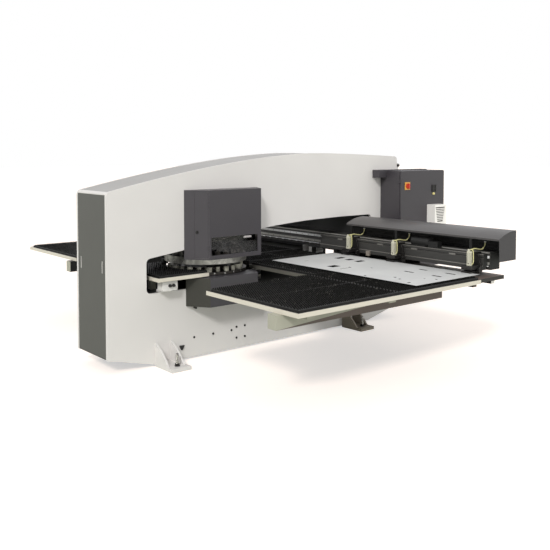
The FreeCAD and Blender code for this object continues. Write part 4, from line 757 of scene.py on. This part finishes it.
BUSHING = turned([(10.0, -3.0), (10.0, 0.8), (8.8, 1.4), (5.0, 1.4), (4.4, -1.0)], 12)
for name, body, z in (("upper_bushings", "upper turret", 1051.0),
                      ("lower_bushings", "lower turret", 920.0)):
    places, turns = rim_places(RIM, z)
    settle(scattered(name, places, BUSHING, BRIGHT_STEEL, own_turns=turns), body)

# %% [markdown]
# ### Clamps and air lines
# Each clamp has an air cylinder made from a slotted alloy extrusion with an end cap at
# each end. The slots hold sensors. The hose that feeds it is 13 mm polyurethane, which
# keeps smooth bends, so it is a curve through the points of its route, and a thinner stiff
# tube runs down its side to the lower port.

# %% Tubes along a path
def tube(name, points, radius, material):
    """A round tube along a smooth curve through drawing points, as a curve object."""
    line = bpy.data.curves.new(name, "CURVE")
    line.dimensions = "3D"
    line.bevel_depth = radius / 1000
    line.bevel_resolution = 3
    line.use_fill_caps = True
    spline = line.splines.new("NURBS")
    spline.points.add(len(points) - 1)
    for knot, point in zip(spline.points, points):
        knot.co = tuple(at(*point)) + (1.0,)
    spline.order_u = 3
    spline.use_endpoint_u = True
    line.materials.append(material)
    return bpy.data.objects.new(name, line)


# %% Air hoses
CLAMPS = (-2095.0, -1048.0, -320.0)
HOSE_RADIUS = 6.5
PORT_RADIUS = 4.5
for i, y in enumerate(CLAMPS):
    route = [(3102.0, y, 1228.0), (3140.0, y, 1228.0), (3198.0, y, 1239.0), (3306.0, y, 1215.0),
             (3352.0, y, 1226.0), (3386.0, y, 1256.0), (3386.0, y, 1288.0)]
    hose = settle(tube("air_hose_%d" % (i + 1), route, HOSE_RADIUS, FINISHES["hose"]),
                  "carriage")
    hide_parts("clamp_hoses")

# %% Cylinder caps, slots and port tubes
fittings = bmesh.new()
slots = bmesh.new()
for y in CLAMPS:
    block(fittings, (3089.6, y - 22.4, 1064.4), (3128.6, y + 22.4, 1076.0), 1.2)
    block(fittings, (3089.6, y - 22.4, 1202.0), (3128.6, y + 22.4, 1214.6), 1.2)
    for across in (-11.0, 8.0):
        block(slots, (3090.3, y + across, 1079.0), (3092.0, y + across + 3.4, 1199.0), 0.2)
        block(slots, (3108.0 + across, y - 21.7, 1079.0), (3111.4 + across, y - 20.0, 1199.0), 0.2)
    block(slots, (3090.2, y - 4.0, 1082.0), (3092.0, y + 5.0, 1092.0), 0.3)
make("cylinder_caps", fittings, FINISHES["alloy"], "carriage")
make("cylinder_slots", slots, FINISHES["black_plastic"], "carriage")
for i, y in enumerate(CLAMPS):
    route = [(3106.0, y - 8.0, 1233.0), (3116.0, y - 16.0, 1236.0), (3125.0, y - 31.0, 1226.0),
             (3128.0, y - 36.0, 1200.0), (3128.0, y - 36.0, 1140.0), (3127.0, y - 36.0, 1098.0),
             (3124.0, y - 30.0, 1082.0), (3122.0, y - 20.0, 1079.0)]
    piece = tube("port_tube_%d" % (i + 1), route, PORT_RADIUS, FINISHES["hose"])
    bpy.context.scene.collection.objects.link(piece)
    ready = piece.evaluated_get(bpy.context.evaluated_depsgraph_get())
    solid = bpy.data.objects.new("port_line_%d" % (i + 1), bpy.data.meshes.new_from_object(ready))
    bpy.data.objects.remove(piece)
    settle(solid, "carriage")

# %% [markdown]
# ### Clamp bar
# The bar's two long edges are drawn as two pale strips, a painted highlight along each edge.
# A gauge block stands on the bar between the clamps. Bolts hold each clamp.

# %% Bar edges, gauge block and bolts
edges = bmesh.new()
block(edges, (3221.3, -2188.0, 1174.0), (3228.0, 298.0, 1180.6), 0.6)
block(edges, (3207.3, -2188.0, 1053.0), (3215.0, 298.0, 1061.6), 0.6)
make("bar_edges", edges, WEAR_AND_EDGE_HIGHLIGHT, "carriage")
gauge = bmesh.new()
block(gauge, (3172.0, -592.0, 994.0), (3207.7, -548.0, 1052.0), 2.0)
make("gauge_block", gauge, finish("bare cast alloy", "#9A9186", 0.5, 0.3), "carriage")
BOLT_REACH = 74.0
bolts = []
for y in CLAMPS:
    for across in (-BOLT_REACH, BOLT_REACH):
        bolts += [at(3187.0, y + across, 1010.0), at(3187.0, y + across, 1036.0)]
clamp_bolts = scattered("clamp_bolts", bolts, screw(7.0, 5.0), FINISHES["zinc"], turn=TO_LEFT)
settle(clamp_bolts, "carriage")

# %% [markdown]
# ### Under the hood
# Cables run along the hood's back in a slotted duct, whose fingers show as fine teeth.

# %% Slotted duct
FINGER_SIZE = (0.004, 0.011, 0.036)
FINGER_PITCH = 20.0
draft = bmesh.new()
bmesh.ops.create_cube(draft, size=1.0)
for vert in draft.verts:
    vert.co = Vector([share * size for share, size in zip(vert.co, FINGER_SIZE)])
finger = bpy.data.meshes.new("finger")
draft.to_mesh(finger)
draft.free()
DUCT = finish("grey duct moulding", "#222120", 0.5)
for name, y0, y1 in (("front_duct", -2340.0, -170.0), ("rear_duct", 840.0, 3010.0)):
    places = row((3542.6, y0, 1246.0), (3542.6, y1, 1246.0), FINGER_PITCH)
    teeth = scattered(name + "_fingers", places, finger, DUCT)
    settle(teeth, "cross beam")
    rails = bmesh.new()
    block(rails, (3540.6, y0 - 8.0, 1222.0), (3544.8, y1 + 8.0, 1229.0), 0.3)
    block(rails, (3540.6, y0 - 8.0, 1262.0), (3544.8, y1 + 8.0, 1270.0), 0.3)
    make(name + "_rails", rails, DUCT, "cross beam")

# %% [markdown]
# ### Shade sheet beside the turret
# A black sheet hangs from the throat's ceiling beside the upper turret. It is painted shade,
# a dark sheet put where there is only shade, so the cover's window shows a dark inside. It
# is folded at its foot.

# %% Turret shade sheet
shade_sheet = bmesh.new()
block(shade_sheet, (1922.0, 36.0, 1196.0), (1925.0, 634.0, 1396.0), 0.5)
block(shade_sheet, (1914.0, 36.0, 1196.0), (1922.5, 634.0, 1199.0), 0.5)
make("turret_screen", shade_sheet, SHADE_BLACK, "frame")

# %% [markdown]
# ### Lips on the runway and shade blocks in the throat
# Black folded lips along the runways keep slugs from falling off. Small black blocks beside
# the turret and beside the lower housing are painted shade: dark pieces put where there is
# only shade, closing gaps. A light plate ends the rear runway, and white nylon wipers are
# screwed to the rear leg of the saddle.

# %% Lips, shade blocks, end plate and wipers
runway = bmesh.new()
block(runway, (3458.0, -1150.0, 948.0), (3461.0, -12.0, 1000.0), 0.4)
block(runway, (3458.0, 706.0, 948.0), (3461.0, 2845.0, 1000.0), 0.4)
make("runway_lips", runway, SHADE_BLACK, "frame")
shade_blocks = bmesh.new()
block(shade_blocks, (1070.0, 672.0, 958.0), (1138.0, 722.0, 1016.0), 1.0)
block(shade_blocks, (800.0, 670.2, 770.0), (918.0, 673.0, 905.0), 0.5)
block(shade_blocks, (1893.0, -8.0, 690.0), (2012.0, -0.3, 780.0), 1.0)
make("chip_guards", shade_blocks, SHADE_BLACK, "frame")
plate = bmesh.new()
block(plate, (3272.0, 700.0, 915.0), (3456.0, 704.0, 1000.0), 0.5)
make("runway_end", plate, FINISHES["frame_paint"], "frame")
wipers = bmesh.new()
block(wipers, (3362.0, 536.4, 898.0), (3490.0, 539.9, 930.0), 0.5)
block(wipers, (3362.0, 536.4, 936.0), (3490.0, 539.9, 976.0), 0.5)
block(wipers, (3286.4, 542.0, 900.0), (3289.9, 598.0, 984.0), 0.5)
make("saddle_wipers", wipers, FINISHES["white_plastic"], "cross beam")

# %% [markdown]
# Each end panel is lifted off by two slits, and a light plastic liner guards their edges.

# %% Slit liners
liners = bmesh.new()
for y in (98.0, 572.0):
    for side in (-8.5, 4.0):
        for x in (0.7, 4358.1):
            block(liners, (x, y + side, 1031.0), (x + 1.2, y + side + 4.5, 1154.0), 0.2)
make("slit_liners", liners, FINISHES["frame_paint"], "frame")

# %% [markdown]
# The lamp under the cover has a short bar of light on an arm, seen through the window.

# %% Lamp bar
bar = bmesh.new()
block(bar, (1692.0, -62.0, 1282.0), (1792.0, -42.0, 1302.0), 2.0)
make("lamp_bar", bar, FINISHES["lamp"], "frame")
arm = bmesh.new()
block(arm, (1640.0, -55.0, 1298.0), (1696.0, -49.0, 1304.0), 0.4)
block(arm, (1640.0, -55.0, 1298.0), (1646.0, -49.0, 1346.0), 0.4)
make("lamp_arm", arm, FINISHES["black_plastic"], "frame")

# %% [markdown]
# ### Cabinet and feet
# Behind the cooler's slats is a dark filter mat. The levelling bolts have a coarse thread,
# drawn as stacked turns, with the real pitch of about 3 mm doubled so that it shows.

# %% Filter mat
COOLER_X = 4693.0
mat = bmesh.new()
outline = [(COOLER_X - 103.0, 1507.0), (COOLER_X + 103.0, 1507.0), (COOLER_X + 61.0, 1311.0),
           (COOLER_X - 61.0, 1311.0)]
near = [mat.verts.new(at(x, -469.6, z)) for x, z in outline]
far = [mat.verts.new(at(x, -468.1, z)) for x, z in outline]
mat.faces.new(near)
mat.faces.new(far)
for i in range(4):
    j = (i + 1) % 4
    mat.faces.new((near[i], near[j], far[j], far[i]))
filter_felt = finish("dark filter mat", "#262625", 0.9, grain=5.0, bump=0.6)
make("cooler_mat", mat, filter_felt, "cabinet door")

# %% Threads and plate screws
threads = [at(x0 + 119.0, y, 66.0) for x0 in (550.0, 3319.0) for y in (-245.0, 915.0)]
settle(scattered("bolt_threads", threads, coils(12.4, 0.0, 98.0, 16), FINISHES["zinc"]),
       "frame")
lid = [at(x, -104.0, z) for x in (583.0, 763.0) for z in (814.0, 893.0)]
settle(scattered("lid_screws", lid, screw(4.0, 2.0), FINISHES["zinc"], turn=TO_FRONT),
       "frame")

# %% [markdown]
# ## Camera
# The view stands at the front left corner of the press, a little above eye height.

# %% Camera
lens = bpy.data.cameras.new("camera")
lens.lens = 49.665
lens.sensor_width = 36.0
lens.shift_y = -0.1683
lens.clip_end = 200.0
camera = bpy.data.objects.new("camera", lens)
camera.location = at(-3544.68, -6872.43, 2292.25)
camera.rotation_euler = (math.pi / 2 - 0.0445, 0.0, -0.6959)
bpy.context.scene.collection.objects.link(camera)
bpy.context.scene.camera = camera
print("camera stands at", [round(part, 2) for part in camera.location])

# %% [markdown]
# ## Light, floor and backdrop
# A wide soft sun from the front left, a weak one from the front that reaches under the
# tables, and an even light from all round. The backdrop is white to the camera and to
# what mirrors or lets through, but lights the press only at the lower studio level. The
# floor is nearly white and shows the camera a little extra light, so that its lit part
# blends into the backdrop while the soft shadow of the press stays.

# %% Lamps
def sun(name, energy, spread, direction, colour=(1.0, 1.0, 1.0)):
    """A sun that shines along direction, its shadows softened by spread in degrees."""
    lamp = bpy.data.lights.new(name, "SUN")
    lamp.energy = energy
    lamp.angle = math.radians(spread)
    lamp.color = colour
    holder = bpy.data.objects.new(name, lamp)
    holder.rotation_euler = Vector(direction).to_track_quat("-Z", "Y").to_euler()
    bpy.context.scene.collection.objects.link(holder)
    print(name, "sun:", energy)


sun("key", 1.9, 10.0, (1.065, 0.82, -0.93), (1.0, 0.99, 0.98))
sun("fill", 0.5, 30.0, (-0.1, 1.0, -0.1))

# %% World
STUDIO_LIGHT = 0.68
world = bpy.data.worlds.new("studio")
world.use_nodes = True
tree = world.node_tree
tree.nodes.clear()
ray = node(tree, "ShaderNodeLightPath")
clear = node(tree, "ShaderNodeMath",
             {0: ray.outputs["Is Glossy Ray"], 1: ray.outputs["Is Transmission Ray"]},
             operation="MAXIMUM")
seen = node(tree, "ShaderNodeMath", {0: ray.outputs["Is Camera Ray"], 1: clear.outputs["Value"]},
            operation="MAXIMUM")
light = node(tree, "ShaderNodeBackground", Color=linear("#FFFFFF"), Strength=STUDIO_LIGHT)
white = node(tree, "ShaderNodeBackground", Color=linear("#FFFFFF"), Strength=1.0)
mix = node(tree, "ShaderNodeMixShader", {0: seen.outputs["Value"], 1: light.outputs["Background"],
                                         2: white.outputs["Background"]})
node(tree, "ShaderNodeOutputWorld", Surface=mix.outputs["Shader"])
bpy.context.scene.world = world
bpy.context.scene.view_settings.view_transform = "Standard"
print("studio light:", STUDIO_LIGHT)

# %% Floor
FLOOR_GLOW = 0.53
FLOOR_SIZE = 160.0
FLOOR_DROP = 0.0005
bpy.ops.mesh.primitive_plane_add(size=FLOOR_SIZE, location=(0.0, 0.0, -FLOOR_DROP))
floor = bpy.context.object
floor.name = "floor"
ground, tree = new_material("pale studio floor")
ray = node(tree, "ShaderNodeLightPath")
shade = node(tree, "ShaderNodeMix",
             {0: ray.outputs["Is Camera Ray"], 6: linear("#D6D8CE"), 7: linear("#E7D7CB")},
             data_type="RGBA")
matt = node(tree, "ShaderNodeBsdfDiffuse", Color=shade.outputs[2])
scale = node(tree, "ShaderNodeMath", {0: ray.outputs["Is Camera Ray"], 1: FLOOR_GLOW},
             operation="MULTIPLY")
glow = node(tree, "ShaderNodeEmission", Color=linear("#FFFFFF"), Strength=scale.outputs["Value"])
surface = node(tree, "ShaderNodeAddShader", {0: matt.outputs["BSDF"], 1: glow.outputs["Emission"]})
node(tree, "ShaderNodeOutputMaterial", Surface=surface.outputs["Shader"])
floor.data.materials.append(ground)
print("floor:", FLOOR_SIZE, "m square")
